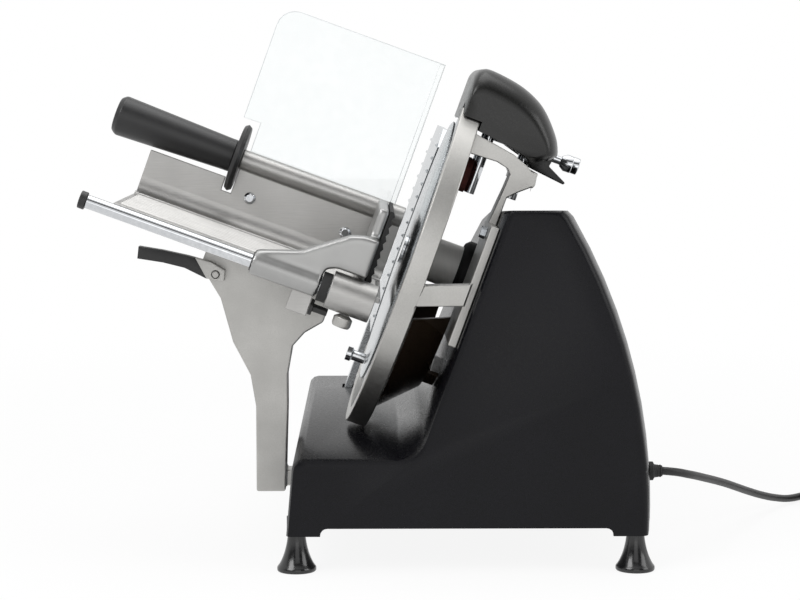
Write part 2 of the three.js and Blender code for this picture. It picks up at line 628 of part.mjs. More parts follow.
// Slice deflector: a dark sheet rolled to a cone round the lower back of the blade
const DEFLECTOR_IN = 5; // inside the blade's edge
const DEFLECTOR_R = BLADE_R - DEFLECTOR_IN;
const DEFLECTOR_T = 2;
const DEFLECTOR_A = [RING_W + 1.5, 43.5];
const DEFLECTOR_SLOPE = 1; // how fast the cone narrows towards the tower
const DEFLECTOR_SPAN = [198, 342];
const DEFLECTOR_TABS = [[234, 246], [294, 306]];

function deflector() {
  const [near, far] = DEFLECTOR_A;
  const wall = DEFLECTOR_T * Math.hypot(1, DEFLECTOR_SLOPE);
  const outer = (a) => DEFLECTOR_R + DEFLECTOR_T - (a - near) * DEFLECTOR_SLOPE;
  const cone = turned('x', HUB, [[outer(near) - wall, near], [outer(near), near], [outer(far), far],
    [outer(far) - wall, far], [outer(near) - wall, near]], 60);
  const beyond = RING_OUT_R * 2;
  const [low, high] = DEFLECTOR_SPAN.map((deg) => THREE.MathUtils.degToRad(deg));
  const ray = (angle) => [AXIS_Y + beyond * Math.cos(angle), beyond * Math.sin(angle)];
  const above = prism('x', [[AXIS_Y, 0], ray(high), [AXIS_Y + beyond, beyond], [AXIS_Y - beyond, beyond],
    ray(low)], near - THROUGH, far + THROUGH);
  const tabs = DEFLECTOR_TABS.map(([fromDeg, toDeg]) => prism('x',
    [...arc([AXIS_Y, 0], outer(far), fromDeg, toDeg, 2),
      ...arc([AXIS_Y, 0], outer(far) - wall, toDeg, fromDeg, 2)], far - DEFLECTOR_T, WALL_A - GAP));
  return join(cut(cone, above), ...tabs);
}

add(tilted, 'slice_deflector', deflector(), DARK_SHEET());

// Gauge plate: ribbed, with a concave edge at the blade and a foot through the deck onto its guide bar
const GAUGE_R = BLADE_R + GAUGE_ARC_CLEAR;
const GAUGE_ARM_C = 80;
const GAUGE_CORNER = 14;
const SLEEVE_WALL = 3.2;
const SLIDER_A = [3, 30];
const GAUGE_BAR_AT = [0, GAUGE_FOOT_Y, GAUGE_BAR_C];

function gaugePlate() {
  const swing = THREE.MathUtils.radToDeg(Math.asin(GAUGE_ARM_C / GAUGE_R));
  const back = GAUGE_A + GAUGE_T;
  const plate = prism('x', [...arc([AXIS_Y, 0], GAUGE_R, swing, -swing, 16),
    [BASE_Y - GAUGE_CORNER, GAUGE_BOTTOM_C], [BASE_Y, GAUGE_BOTTOM_C + GAUGE_CORNER],
    [BASE_Y, GAUGE_TOP_C - GAUGE_CORNER], [BASE_Y - GAUGE_CORNER, GAUGE_TOP_C],
    [AXIS_Y + GAUGE_R - 10, GAUGE_TOP_C]], GAUGE_A, back);
  const ribs = [];
  for (let c = GAUGE_BOTTOM_C + RIB_PITCH; c < GAUGE_TOP_C - RIB_PITCH / 2; c += RIB_PITCH) {
    const start = AXIS_Y + Math.sqrt(GAUGE_R ** 2 - Math.min(GAUGE_ARM_C, Math.abs(c) + 3) ** 2) + 14;
    ribs.push(prism('y', [[GAUGE_A + 0.5, c - 2], [GAUGE_A + 0.5, c + 2], [GAUGE_A - RIB_H, c + 0.7],
      [GAUGE_A - RIB_H, c - 0.7]], start, BASE_Y - GAUGE_CORNER / 2));
  }
  const half = GAUGE_FOOT_W / 2;
  const foot = box([GAUGE_A, GAUGE_FOOT_Y - half, GAUGE_BAR_C],
    [back, GAUGE_FOOT_Y + half, GAUGE_BOTTOM_C + 1]);
  const slider = rod('x', GAUGE_BAR_AT, GAUGE_BAR_R + RUN + SLEEVE_WALL, ...SLIDER_A);
  const pin = rod('y', [PIN_A, 0, GAUGE_BAR_C], PIN_R, GAUGE_FOOT_Y + GAUGE_BAR_R + 1.5, CAM_Y + CAM_T, 12);
  const bore = rod('x', GAUGE_BAR_AT, GAUGE_BAR_R + RUN, GAUGE_A - THROUGH, SLIDER_A[1] + THROUGH);
  return cut(join(plate, ...ribs, foot, slider, pin), bore);
}

add(tilted, 'gauge_plate', gaugePlate(), POLISHED());
add(tilted, 'gauge_bar', rod('x', GAUGE_BAR_AT, GAUGE_BAR_R, GAUGE_BAR_FROM, GAUGE_BAR_TO), STEEL());

// Thickness setting: a spiral cam on the knob's shaft lets the gauge plate back from the blade
const CAM_DWELL = THREE.MathUtils.degToRad(25);

function camRadius(turn) {
  const high = CAM_REACH - PIN_R - RUN;
  const low = high - GAUGE_TRAVEL;
  if (turn <= CAM_TURN) return high - (GAUGE_TRAVEL * turn) / CAM_TURN;
  const rise = Math.max(0, turn - CAM_TURN - CAM_DWELL) / (2 * Math.PI - CAM_TURN - CAM_DWELL);
  return low + GAUGE_TRAVEL * rise;
}

function thicknessCam() {
  const steps = 36;
  const outline = Array.from({ length: steps }, (_, i) => {
    const turn = (2 * Math.PI * i) / steps;
    const angle = Math.PI + turn;
    return [CAM_A + camRadius(turn) * Math.cos(angle), GAUGE_BAR_C + camRadius(turn) * Math.sin(angle)];
  });
  return join(prism('y', outline, CAM_Y, CAM_Y + CAM_T),
    rod('y', [CAM_A, 0, GAUGE_BAR_C], SHAFT_R, CAM_Y - 1, SHAFT_END_Y));
}

add(tilted, 'thickness_cam', thicknessCam(), STEEL());
const KNOB_AT = [camAxis.x, 0, camAxis.z];
const DIAL_LIP = 2;
const KNOB_EDGE = 3;
const dialFrom = BASE_Y + GAP;
add(level, 'index_dial',
  tube('y', KNOB_AT, SHAFT_R + RUN, KNOB_R + DIAL_LIP, dialFrom, dialFrom + DIAL_T, 28), CAST());
const knobEnd = KNOB_Y + KNOB_T;
const knobBore = SHAFT_R + GAP;
add(level, 'thickness_knob', turned('y', KNOB_AT, [[knobBore, KNOB_Y], [KNOB_R, KNOB_Y],
  [KNOB_R, knobEnd - KNOB_EDGE], [KNOB_R - KNOB_EDGE, knobEnd], [knobBore, knobEnd], [knobBore, KNOB_Y]],
24), BLACK());

// Switch
const SWITCH_T = 2;
const BUTTON_OUT = 5;
const BUTTON_IN = 8;
const buttonAt = (x) => [x, 0, SWITCH_Z];
const switchPlate = box([SWITCH_X - SWITCH_W / 2, BASE_Y + GAP, SWITCH_Z - SWITCH_H / 2],
  [SWITCH_X + SWITCH_W / 2, BASE_Y + GAP + SWITCH_T, SWITCH_Z + SWITCH_H / 2]);
const buttonWells = BUTTONS.map(([, x]) =>
  rod('y', buttonAt(x), BUTTON_R + RUN, BASE_Y, BASE_Y + SWITCH_T * 2));
add(level, 'switch_plate', cut(switchPlate, ...buttonWells), CAST());
for (const [name, x] of BUTTONS) {
  add(level, name, rod('y', buttonAt(x), BUTTON_R, BASE_Y - BUTTON_IN, BASE_Y + SWITCH_T + BUTTON_OUT),
    name === 'start_button' ? GREEN() : RED());
}

// Carriage: slide block on its bar, leg, tray, guard and handle
const BLOCK_HALF = [10, 25, 9];
const LEG_Y_RANGE = [LEG_Y - LEG_T / 2, LEG_Y + LEG_T / 2];
const LEVER_AT = [-119, 203];
const LEVER_PIN_R = 3;
const LEVER_T = 10;
add(level, 'carriage_bar', rod('y', [BAR_X, 0, BAR_Z], BAR_R, WALL + GAP, BASE_Y - WALL - GAP), CHROME());
add(level, 'slide_block', cut(box([BAR_X - BLOCK_HALF[0], LEG_Y - BLOCK_HALF[1], BAR_Z - BLOCK_HALF[2]],
  [BAR_X + BLOCK_HALF[0], LEG_Y + BLOCK_HALF[1], BAR_Z + BLOCK_HALF[2]]),
rod('y', [BAR_X, 0, BAR_Z], BAR_R + RUN, 0, BASE_Y)), STEEL());

function carriageLeg() {
  const topLeft = levelPoint(-142, 0, BED_C - GAP);
  const topRight = levelPoint(-42, 0, BED_C - GAP);
  const leg = prism('y', [[topLeft.x, topLeft.z], [-131, 209], [-116, 184], [-107, 151], [-94, 126],
    [-90, 102], [-90, LEG_FOOT_Z], [-68, LEG_FOOT_Z], [-66, 102], [-66, 126], [-62, 148], [-53, 158],
    [-39, 166], [topRight.x, topRight.z]], ...LEG_Y_RANGE);
  const neck = box([-72, LEG_Y - NECK_HALF_Y, BAR_Z - NECK_HALF_Z],
    [BAR_X - BLOCK_HALF[0] - GAP, LEG_Y + NECK_HALF_Y, BAR_Z + NECK_HALF_Z]);
  const leverPin = rod('y', [LEVER_AT[0], 0, LEVER_AT[1]], LEVER_PIN_R, LEG_Y_RANGE[0] - LEVER_T - 1,
    LEG_Y, 12);
  return join(leg, neck, leverPin);
}

add(level, 'carriage_leg', carriageLeg(), CAST());
const leverFar = LEG_Y_RANGE[0] - GAP;
add(level, 'tray_lever', cut(prism('y', [[-113, 198], [-112, 206], [-122, 212], [-140, 217], [-158, 221],
  [-176, 224], [-177, 215], [-158, 212], [-142, 208], [-126, 200]], leverFar - LEVER_T, leverFar),
rod('y', [LEVER_AT[0], 0, LEVER_AT[1]], LEVER_PIN_R + RUN, 0, BASE_Y, 12)), BLACK());

const WALL_NEAR_Y = TRAY_WALL_Y - TRAY_T;
const BEAD_Y = TRAY_WALL_Y - 4;
const NOTCH_A = BEAD_LEFT_A + 0.5;
const LOW_WALL_C = 1.5;
const TRAY_SCREWS = [['tray_screw_left', -128], ['tray_screw_right', -48]];
const TRAY_SCREW_C = -8;
const TRAY_SCREW_R = 2.2;
const GUARD_Y = BEAD_Y + BEAD_R + GAP;
const TRAY_RIB_PITCH = 12;
const LUG_A = [-72, -56];
const LUG_C = -64;
const LUG_Y = [61, 71];

function screwHoles(from, to) {
  return TRAY_SCREWS.map(([, a]) => rod('y', [a, 0, TRAY_SCREW_C], TRAY_SCREW_R + GAP, from, to, 12));
}

function tray() {
  const bedTop = BED_C + TRAY_T;
  const bed = box([TRAY_LEFT_A, TRAY_NEAR_Y, BED_C], [TRAY_RIGHT_A, TRAY_WALL_Y, bedTop]);
  const flangeFoot = BEAD_C - FLANGE_R - 1;
  const wall = prism('y', [[TRAY_LEFT_A, BED_C], [TRAY_RIGHT_A, BED_C], [TRAY_RIGHT_A, WALL_TOP_C],
    [NOTCH_A, WALL_TOP_C], [NOTCH_A, flangeFoot], [NOTCH_A - FLANGE_T - 2, flangeFoot],
    [NOTCH_A - FLANGE_T - 2, LOW_WALL_C], [TRAY_LEFT_A, LOW_WALL_C]], WALL_NEAR_Y, TRAY_WALL_Y);
  const bead = rod('x', [0, BEAD_Y, BEAD_C], BEAD_R, BEAD_LEFT_A, TRAY_RIGHT_A, 16);
  const ribs = [];
  for (let y = TRAY_NEAR_Y + TRAY_RIB_PITCH; y < WALL_NEAR_Y - 4; y += TRAY_RIB_PITCH) {
    ribs.push(prism('x', [[y - 2, bedTop - 0.5], [y + 2, bedTop - 0.5], [y, bedTop + RIB_H]],
      TRAY_LEFT_A + 4, TRAY_RIGHT_A - 4));
  }
  const boss = rod('x', [0, ROD_Y, ROD_C], BOSS_R, BOSS_LEFT_A, BOSS_RIGHT_A);
  const web = box([BOSS_LEFT_A, ROD_Y, ROD_C - 7], [BOSS_RIGHT_A, TRAY_NEAR_Y + 4, BED_C + 1]);
  const lug = box([LUG_A[0], LUG_Y[0], LUG_C], [LUG_A[1], LUG_Y[1], BED_C + 1]);
  const lugTie = box([LUG_A[0], TRAY_NEAR_Y, BED_C - 3], [LUG_A[1], LUG_Y[1], BED_C + 1]);
  const bore = rod('x', [0, ROD_Y, ROD_C], ROD_R + GAP, BOSS_LEFT_A - THROUGH, BOSS_RIGHT_A + THROUGH);
  return cut(join(bed, wall, bead, ...ribs, boss, web, lug, lugTie), bore,
    ...screwHoles(WALL_NEAR_Y - THROUGH, TRAY_WALL_Y + THROUGH));
}

add(tilted, 'tray', tray(), CAST());
for (const [name, a] of TRAY_SCREWS) {
  const under = WALL_NEAR_Y - GAP;
  const tip = GUARD_Y + GUARD_T;
  add(tilted, name, turned('y', [a, 0, TRAY_SCREW_C], [[0, under - 2.5], [3, under - 2.5], [4.75, under - 1],
    [4.75, under], [TRAY_SCREW_R, under], [TRAY_SCREW_R, tip], [0, tip]], 16), CHROME());
}

const GUARD_CORNER = 15;
const GUARD_BOTTOM_C = -20;
const GUARD_FLANGE = 30;
const guardCorner = arc([GUARD_LEFT_A + GUARD_CORNER, GUARD_TOP_C - GUARD_CORNER], GUARD_CORNER, 90, 180, 5);
const guardStep = BEAD_C + FLANGE_R + 4;
const guardInner = BEAD_LEFT_A + 4;
add(tilted, 'hand_guard', cut(join(
  prism('y', [[guardInner, GUARD_BOTTOM_C], [GUARD_RIGHT_A, GUARD_BOTTOM_C], [GUARD_RIGHT_A, GUARD_TOP_C],
    ...guardCorner, [GUARD_LEFT_A, guardStep], [guardInner, guardStep]], GUARD_Y, GUARD_Y + GUARD_T),
  box([GUARD_RIGHT_A - GUARD_T, GUARD_Y, WALL_TOP_C], [GUARD_RIGHT_A, GUARD_Y + GUARD_FLANGE, GUARD_TOP_C])),
...screwHoles(GUARD_Y - THROUGH, GUARD_Y + GUARD_T + THROUGH)), clear());

const flangeFace = BEAD_LEFT_A - GAP;
const gripFace = flangeFace - FLANGE_T - GAP;
add(tilted, 'handle_flange', turned('x', [0, BEAD_Y, BEAD_C], [[0, flangeFace - FLANGE_T],
  [FLANGE_R - 2, flangeFace - FLANGE_T], [FLANGE_R, flangeFace - FLANGE_T / 2], [FLANGE_R - 2, flangeFace],
  [0, flangeFace]], 28), BLACK());
const gripEnd = gripFace - GRIP_LEN;
add(tilted, 'handle_grip', turned('x', [0, BEAD_Y, BEAD_C], [[0, gripEnd], [GRIP_END_R - 3, gripEnd],
  [GRIP_END_R, gripEnd + 4], [GRIP_R, gripFace - 6], [GRIP_R, gripFace], [0, gripFace]]), BLACK());

// Pusher: rod, bush that slides on it, and the arm that swings on the bush
const ROD_AT = [0, ROD_Y, ROD_C];
const BUSH_R = ROD_R + RUN + BUSH_WALL;
const WEB_Y = [44, 62];
const WEB_FOOT_C = -22.5;
const PLATE_NEAR_Y = 66;
const plateRight = PUSHER_PLATE_A + PUSHER_PLATE_T;
add(tilted, 'pusher_rod', rod('x', ROD_AT, ROD_R, ROD_LEFT_A, BOSS_RIGHT_A), CHROME());
add(tilted, 'rod_cap', rod('x', ROD_AT, ROD_R + 1.5, ROD_LEFT_A - GAP - 5, ROD_LEFT_A - GAP, 16), BLACK());
add(tilted, 'rod_bumper',
  tube('x', ROD_AT, ROD_R + GAP, BOSS_R - 3, SLEEVE_RIGHT_A + GAP, BOSS_LEFT_A - GAP), RUBBER());
const CLAMP_A = -30;
add(tilted, 'rod_clamp_knob', turned('z', [CLAMP_A, ROD_Y, ROD_C - BOSS_R - GAP],
  [[0, -9], [6, -9], [7, -7], [7, -2], [4, 0], [0, 0]], 16), BLACK());
const [pinFrom, pinCollar, pinEnd] = [LUG_A[1] + GAP, LUG_A[1] + 3, LUG_A[1] + 14];
add(tilted, 'stop_pin', turned('x', [0, LUG_Y[1] - 5, LUG_C + 7],
  [[0, pinFrom], [6, pinFrom], [6, pinCollar], [3, pinCollar], [3, pinEnd], [0, pinEnd]], 16), BLACK());
add(tilted, 'pusher_bush', tube('x', ROD_AT, ROD_R + RUN, BUSH_R, SLEEVE_LEFT_A, SLEEVE_RIGHT_A), BLACK());

function pusherArm() {
  const sleeve = rod('x', ROD_AT, SLEEVE_R, SLEEVE_LEFT_A, SLEEVE_RIGHT_A);
  const web = prism('y', [[SLEEVE_LEFT_A, ROD_C + 2], [SLEEVE_RIGHT_A, ROD_C + 2], [SLEEVE_RIGHT_A, -26],
    [BOSS_LEFT_A, WEB_FOOT_C], [plateRight, WEB_FOOT_C], [plateRight, 6], [-34, 6], [-45, 3], [-62, -9.5],
    [-76, -20], [SLEEVE_LEFT_A, -30]], ...WEB_Y);
  const link = box([PUSHER_PLATE_A, WEB_Y[0], WEB_FOOT_C], [plateRight, PLATE_NEAR_Y + 2, 6]);
  const plate = box([PUSHER_PLATE_A, PLATE_NEAR_Y, -PUSHER_HALF_C],
    [plateRight, PUSHER_FAR_Y, PUSHER_HALF_C]);
  const bore = rod('x', ROD_AT, BUSH_R + RUN, SLEEVE_LEFT_A - THROUGH, SLEEVE_RIGHT_A + THROUGH);
  return cut(join(sleeve, web, link, plate), bore);
}

add(tilted, 'pusher_arm', pusherArm(), POLISHED());
const padBack = plateRight + GAP;
const padTip = padBack + PUSHER_PAD_T;
const toothH = (2 * PUSHER_HALF_C) / TOOTH_COUNT;
const teeth = Array.from({ length: TOOTH_COUNT }, (_, i) => {
  const c = i * toothH - PUSHER_HALF_C;
  return [[padTip - 1.8, c], [padTip, c + toothH / 2]];
}).flat();
add(tilted, 'pusher_pad', prism('y', [[padBack, -PUSHER_HALF_C], ...teeth, [padTip - 1.8, PUSHER_HALF_C],
  [padBack, PUSHER_HALF_C]], PLATE_NEAR_Y + 2, PUSHER_FAR_Y - 2), RUBBER());

// Sharpener: a hood over the top of the blade, on a post in the guard's shelf, with two stones on push rods
const HOOD = [[0, 108.5], [20, 104], [46, 99.8], [63, 94.6], [70, 98.5], [77.5, 106], [77, 110], [72, 119.5],
  [61, 132], [50, 140], [34, 146], [12, 149], [3, 147], [0, 142]];
const HOOD_MIDDLE = [39, 121];
const TONGUE = [[58, 97], [64, 91.2], [90, 88.3], [91, 90], [75.5, 97.5], [77, 105], [74, 109]];
const TONGUE_Y = [96, 176];
const RING_ROOM = 1.5; // round the end of the ring guard, which is under the hood
const HOOD_ROUND = [[0, 0.8], [4, 0.92], [11, 1]];
const HOOD_INNER = 0.93;
const HOOD_OPEN = 10; // the hollow sits this much lower, so it is open below
const BLADE_ROOM = 2.5;
const POST_TOP_C = 124;
const POST_BOTTOM_C = 64;
const POST_WALL = 3;
const PUSH_C = 104;
const PUSH_R = 3;
const PUSH_KNOB_R = 6.5;
const PUSH_KNOB_T = 8;
const HANGER_A = STONE_A + 4;
const HANGER_R = 4;
const HANGER_BOTTOM_C = 58;
const STONE_C = 70;
const PUSHES = { near: { y: POST_Y - 18, end: 86.5 }, far: { y: POST_Y + 18, end: 95 } };

const hoodOutline = (scale, drop) => HOOD.map(([a, c]) => [HOOD_MIDDLE[0] + (a - HOOD_MIDDLE[0]) * scale,
  HOOD_MIDDLE[1] + (c - HOOD_MIDDLE[1]) * scale - drop]);

function sharpenerHood() {
  const near = HOOD_ROUND.map(([step, scale]) => ({ y: HOOD_NEAR_Y + step, outline: hoodOutline(scale, 0) }));
  const far = HOOD_ROUND.map(([step, scale]) => ({ y: HOOD_FAR_Y - step, outline: hoodOutline(scale, 0) }));
  const inner = (1 - HOOD_WALL / HOOD_MIDDLE[0]) * HOOD_INNER;
  const roomy = [HOOD_NEAR_Y + HOOD_WALL * 2, HOOD_FAR_Y - HOOD_WALL * 2]
    .map((y) => ({ y, outline: hoodOutline(inner, HOOD_OPEN) }));
  const bossTop = POST_TOP_C + HOOD_WALL;
  const boss = rod('z', [POST_A, POST_Y, 0], POST_R + GAP + POST_WALL, PUSH_C, bossTop);
  const bore = rod('z', [POST_A, POST_Y, 0], POST_R + GAP, POST_BOTTOM_C, POST_TOP_C + GAP);
  const bladeSlot = rod('x', HUB, BLADE_R + BLADE_ROOM, BLADE_A - BLADE_ROOM,
    BLADE_A + BLADE_T + BLADE_ROOM, 40);
  const pushHoles = Object.values(PUSHES).map(({ y, end }) =>
    rod('x', [0, y, PUSH_C], PUSH_R + RUN, HOOD_MIDDLE[0], end, 12));
  const ringSlot = prism('x', [...arc([AXIS_Y, 0], RING_OUT_R + RING_ROOM, HOOD_ANGLE - 2, 170, 12),
    ...arc([AXIS_Y, 0], RING_R - RING_ROOM, 170, HOOD_ANGLE - 2, 12)], -RING_ROOM, RING_W + RING_ROOM);
  const tongue = prism('y', TONGUE, ...TONGUE_Y);
  const hollow = cut(loft([...near, ...far.reverse()]), loft(roomy));
  return cut(join(hollow, boss, tongue), bore, bladeSlot, ringSlot, ...pushHoles);
}

add(tilted, 'sharpener_hood', sharpenerHood(), BLACK());
add(tilted, 'sharpener_post', rod('z', [POST_A, POST_Y, 0], POST_R, POST_BOTTOM_C, POST_TOP_C), CHROME());
for (const [side, { y, end }] of Object.entries(PUSHES)) {
  const knobTop = end + PUSH_KNOB_T;
  const knob = turned('x', [0, y, PUSH_C], [[0, end - 2], [PUSH_KNOB_R - 2.5, end - 2],
    [PUSH_KNOB_R, end + 2], [PUSH_KNOB_R, knobTop - 1], [0, knobTop]], 16);
  const bar = rod('x', [0, y, PUSH_C], PUSH_R, HANGER_A, end, 12);
  const hanger = rod('z', [HANGER_A, y, 0], HANGER_R, HANGER_BOTTOM_C, PUSH_C + PUSH_R, 12);
  add(tilted, `sharpener_knob_${side}`, join(knob, bar, hanger), CHROME());
  const stoneBack = HANGER_A - HANGER_R - GAP;
  add(tilted, `grinding_stone_${side}`,
    rod('x', [0, y, STONE_C], STONE_R, stoneBack - STONE_T, stoneBack), STONE());
}

// Mains cord: gland, free stretch on a hand-laid route, neat coil and plug
const GLAND_SEAT = BACK_X + 1.1;
const GLAND_END = GLAND_SEAT + 10;
const GLAND_LIP = 2;
const glandStart = GLAND_END - GLAND_LEN;
add(level, 'cable_gland', turned('x', [0, GLAND_Y, GLAND_Z], [[0, glandStart], [GLAND_R, glandStart],
  [GLAND_R, GLAND_SEAT], [GLAND_R + GLAND_LIP, GLAND_SEAT], [GLAND_R + GLAND_LIP, GLAND_SEAT + 3],
  [GLAND_R, GLAND_SEAT + 4], [CORD_R + 1, GLAND_END], [0, GLAND_END]], 16), RUBBER());

const CORD_D = CORD_R * 2;
const COIL_AT = [398.5, 246.4];
const COIL_R = 44.6;
const COIL_START = 127;
const COIL_WHOLE_TURNS = 5;
const COIL_STEPS = 24;
const PLUG_REACH = 34; // straight cord between the coil and the plug
const LAYER = CORD_D + CORD_GAP;
const coilTurns = COIL_WHOLE_TURNS + COIL_START / 360;

function coilPoint(turn) {
  const toMiddle = coilTurns / 2 - Math.abs(turn - coilTurns / 2);
  const radius = COIL_R - LAYER * toMiddle;
  const climb = THREE.MathUtils.smoothstep(turn, coilTurns / 2 - 0.25, coilTurns / 2 + 0.25);
  const angle = THREE.MathUtils.degToRad(COIL_START - 360 * turn);
  return vec(COIL_AT[0] + radius * Math.cos(angle), COIL_AT[1] + radius * Math.sin(angle),
    CORD_R + LAYER * climb);
}

function coilRoute() {
  const count = Math.round(coilTurns * COIL_STEPS);
  const turns = Array.from({ length: count + 1 }, (_, i) => coilPoint((coilTurns * i) / count));
  const ahead = turns[0].clone().sub(turns[1]).setLength(CORD_D);
  const beyond = vec(0, -PLUG_REACH, 0);
  return [turns[0].clone().add(ahead), ...turns, turns.at(-1).clone().add(beyond)];
}

function leastGap(points) {
  const apart = Math.ceil(COIL_STEPS / 2);
  let least = Infinity;
  for (let i = 0; i < points.length; i += 1) {
    for (let j = i + apart; j < points.length; j += 1) {
      least = Math.min(least, points[i].distanceTo(points[j]));
    }
  }
  return least - CORD_D;
}

function cordTube(points, sides, steps) {
  const section = new THREE.Shape(arc([0, 0], CORD_R, 0, 360 - 360 / sides, sides - 1)
    .map(([x, y]) => new THREE.Vector2(x, y)));
  return new THREE.ExtrudeGeometry(section, { steps, extrudePath: new THREE.CatmullRomCurve3(points) });
}

const coil = coilRoute();
const leadWay = coil[0].clone().sub(coil[1]);
const leadEnd = coil[0].clone().add(leadWay.setLength(GAP));
const LEAD = [[GLAND_END + GAP, GLAND_Y, GLAND_Z], [214, 60, 62.5], [222, 62.4, 61.2], [229.5, 68.5, 58.8],
  [236.5, 79, 55.8], [246, 96, 51], [257, 117, 45.2], [268.5, 138, 39], [280.5, 160, 32], [295, 187, 23.4],
  [311, 213, 15], [326, 235, 8.6], [340, 252.5, 4.6]].map((point) => vec(...point));
const lead = [...LEAD, leadEnd.clone().add(leadWay.setLength(CORD_D)), leadEnd];
add(level, 'cord_lead', cordTube(lead, 10, 24), RUBBER());
add(level, 'cord_coil', cordTube(coil, 6, coil.length - 1), RUBBER());
console.log(`cord coil: least gap to itself ${leastGap(coil).toFixed(2)} mm`);

const PLUG_W = 10;
const PLUG_H = 9.4;
const PLUG_LEN = 34;
const PRONG_R = 2.2;
const PRONG_LEN = 18;
const PRONG_SPAN = 5.5;
const plugNose = coil.at(-1);
const plugEnd = plugNose.y - GAP;
const PLUG_SECTION = [[1, -0.5], [1, 0.5], [0.7, 1], [-0.7, 1], [-1, 0.5], [-1, -0.5], [-0.7, -1], [0.7, -1]];
const plugOutline = (halfW, halfH) =>
  PLUG_SECTION.map(([x, z]) => [plugNose.x + halfW * x, plugNose.z + halfH * z]);
const plugBody = loft([
  { y: plugEnd - PLUG_LEN, outline: plugOutline(PLUG_W, PLUG_H) },
  { y: plugEnd - PLUG_LEN / 2, outline: plugOutline(PLUG_W, PLUG_H) },
  { y: plugEnd, outline: plugOutline(CORD_R + 1.5, CORD_R + 1.5) }]);
const prongs = [-PRONG_SPAN, PRONG_SPAN].map((x) => rod('y', [plugNose.x + x, 0, plugNose.z], PRONG_R,
  plugEnd - PLUG_LEN - PRONG_LEN, plugEnd - PLUG_LEN + 1, 12));
add(level, 'cord_plug', join(plugBody, ...prongs), BLACK());

// The origin: under the middle of the slicer, without its cord, on the table
const body = new THREE.Box3();
slicer.updateMatrixWorld(true);
slicer.traverse((piece) => {
  if (piece.isMesh && !piece.name.startsWith('cord_')) body.expandByObject(piece, true);
});
const middle = body.getCenter(vec(0, 0, 0));
slicer.position.set(-middle.x, -middle.y, -body.min.z);

export default slicer;
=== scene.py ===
"""Looks of the gravity-feed meat slicer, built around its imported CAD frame."""
import json
import math

import bmesh
import bpy
from mathutils import Matrix, Vector


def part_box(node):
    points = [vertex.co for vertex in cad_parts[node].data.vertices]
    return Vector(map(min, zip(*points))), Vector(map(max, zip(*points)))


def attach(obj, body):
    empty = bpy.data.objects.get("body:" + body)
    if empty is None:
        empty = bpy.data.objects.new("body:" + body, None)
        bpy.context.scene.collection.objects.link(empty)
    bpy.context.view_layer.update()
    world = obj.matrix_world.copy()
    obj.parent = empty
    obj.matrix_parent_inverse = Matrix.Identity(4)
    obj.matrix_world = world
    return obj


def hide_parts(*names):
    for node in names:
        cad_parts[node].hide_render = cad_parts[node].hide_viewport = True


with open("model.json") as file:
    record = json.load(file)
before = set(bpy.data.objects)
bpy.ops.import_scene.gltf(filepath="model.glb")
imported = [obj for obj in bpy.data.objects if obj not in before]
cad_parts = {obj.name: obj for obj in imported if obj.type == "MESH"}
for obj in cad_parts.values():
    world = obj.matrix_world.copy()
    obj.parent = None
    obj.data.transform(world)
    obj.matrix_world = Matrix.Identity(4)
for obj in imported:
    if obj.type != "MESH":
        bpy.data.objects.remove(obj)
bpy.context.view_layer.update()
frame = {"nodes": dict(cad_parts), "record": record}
nodes = frame["nodes"]
scene = bpy.context.scene
record = frame["record"]
body_of = {n: body for body, members in record["behaviour"]["bodies"].items() for n in members}
slot_of = {row["node"]: row["material_slot"] for row in record["subparts"]}

MM = 0.001
SHIFT = Vector((1.8634, -233.45, 0.0))  # from the drawing's own origin to the row's, in mm
HUB = Vector((24.0, 150.0, 218.0))  # middle of the blade in the drawing
TILT = math.radians(20)  # the blade unit leans this far


def level(x, y, z):
    """A point of the drawing, in mm, as metres in the row frame."""
    return (Vector((x, y, z)) + SHIFT) * MM


def leaning(a, y, c):
    """A point of the leaning blade unit: a along the blade axis, c up the blade's face."""
    return level(HUB.x + a * math.cos(TILT) + c * math.sin(TILT), y,
                 HUB.z - a * math.sin(TILT) + c * math.cos(TILT))


LEAN = Matrix.Rotation(TILT, 4, "Y")
ALONG = Matrix.Rotation(math.pi / 2, 4, "Y")  # turns a lathe's +Z to +X
OPERATOR = Matrix.Rotation(-math.pi / 2, 4, "X")  # turns a lathe's +Z to +Y, the operator's side

# Camera at the photograph's viewing angle
CAMERA_AT = (0, -1500, 346.5)  # in the drawing, in mm
CAMERA_DOWN, CAMERA_ASIDE = 5.78, -0.66  # degrees below the level, and about the vertical
camera = bpy.data.objects.new("camera", bpy.data.cameras.new("camera"))
camera.data.lens = 97.4
camera.data.sensor_width = 36.0
camera.location = level(*CAMERA_AT)
camera.rotation_euler = (math.radians(90 - CAMERA_DOWN), 0, math.radians(CAMERA_ASIDE))
scene.collection.objects.link(camera)
scene.camera = camera

# ---------------------------------------------------------------- materials


def colour(value):
    """An sRGB hex value as linear RGBA."""
    parts = [int(value[i:i + 2], 16) / 255 for i in (1, 3, 5)]
    return (*[p / 12.92 if p <= 0.04045 else ((p + 0.055) / 1.055) ** 2.4 for p in parts], 1.0)


def node(tree, kind, inputs=None, **settings):
    """Adds a node with its settings, values and links."""
    made = tree.nodes.new(kind)
    for name, value in settings.items():
        setattr(made, name, value)
    for socket, value in (inputs or {}).items():
        if isinstance(value, bpy.types.NodeSocket):
            tree.links.new(value, made.inputs[socket])
        else:
            made.inputs[socket].default_value = value
    return made


def per_mm(size):
    """The noise scale whose features are about this many mm across."""
    return 1.0 / (size * MM)


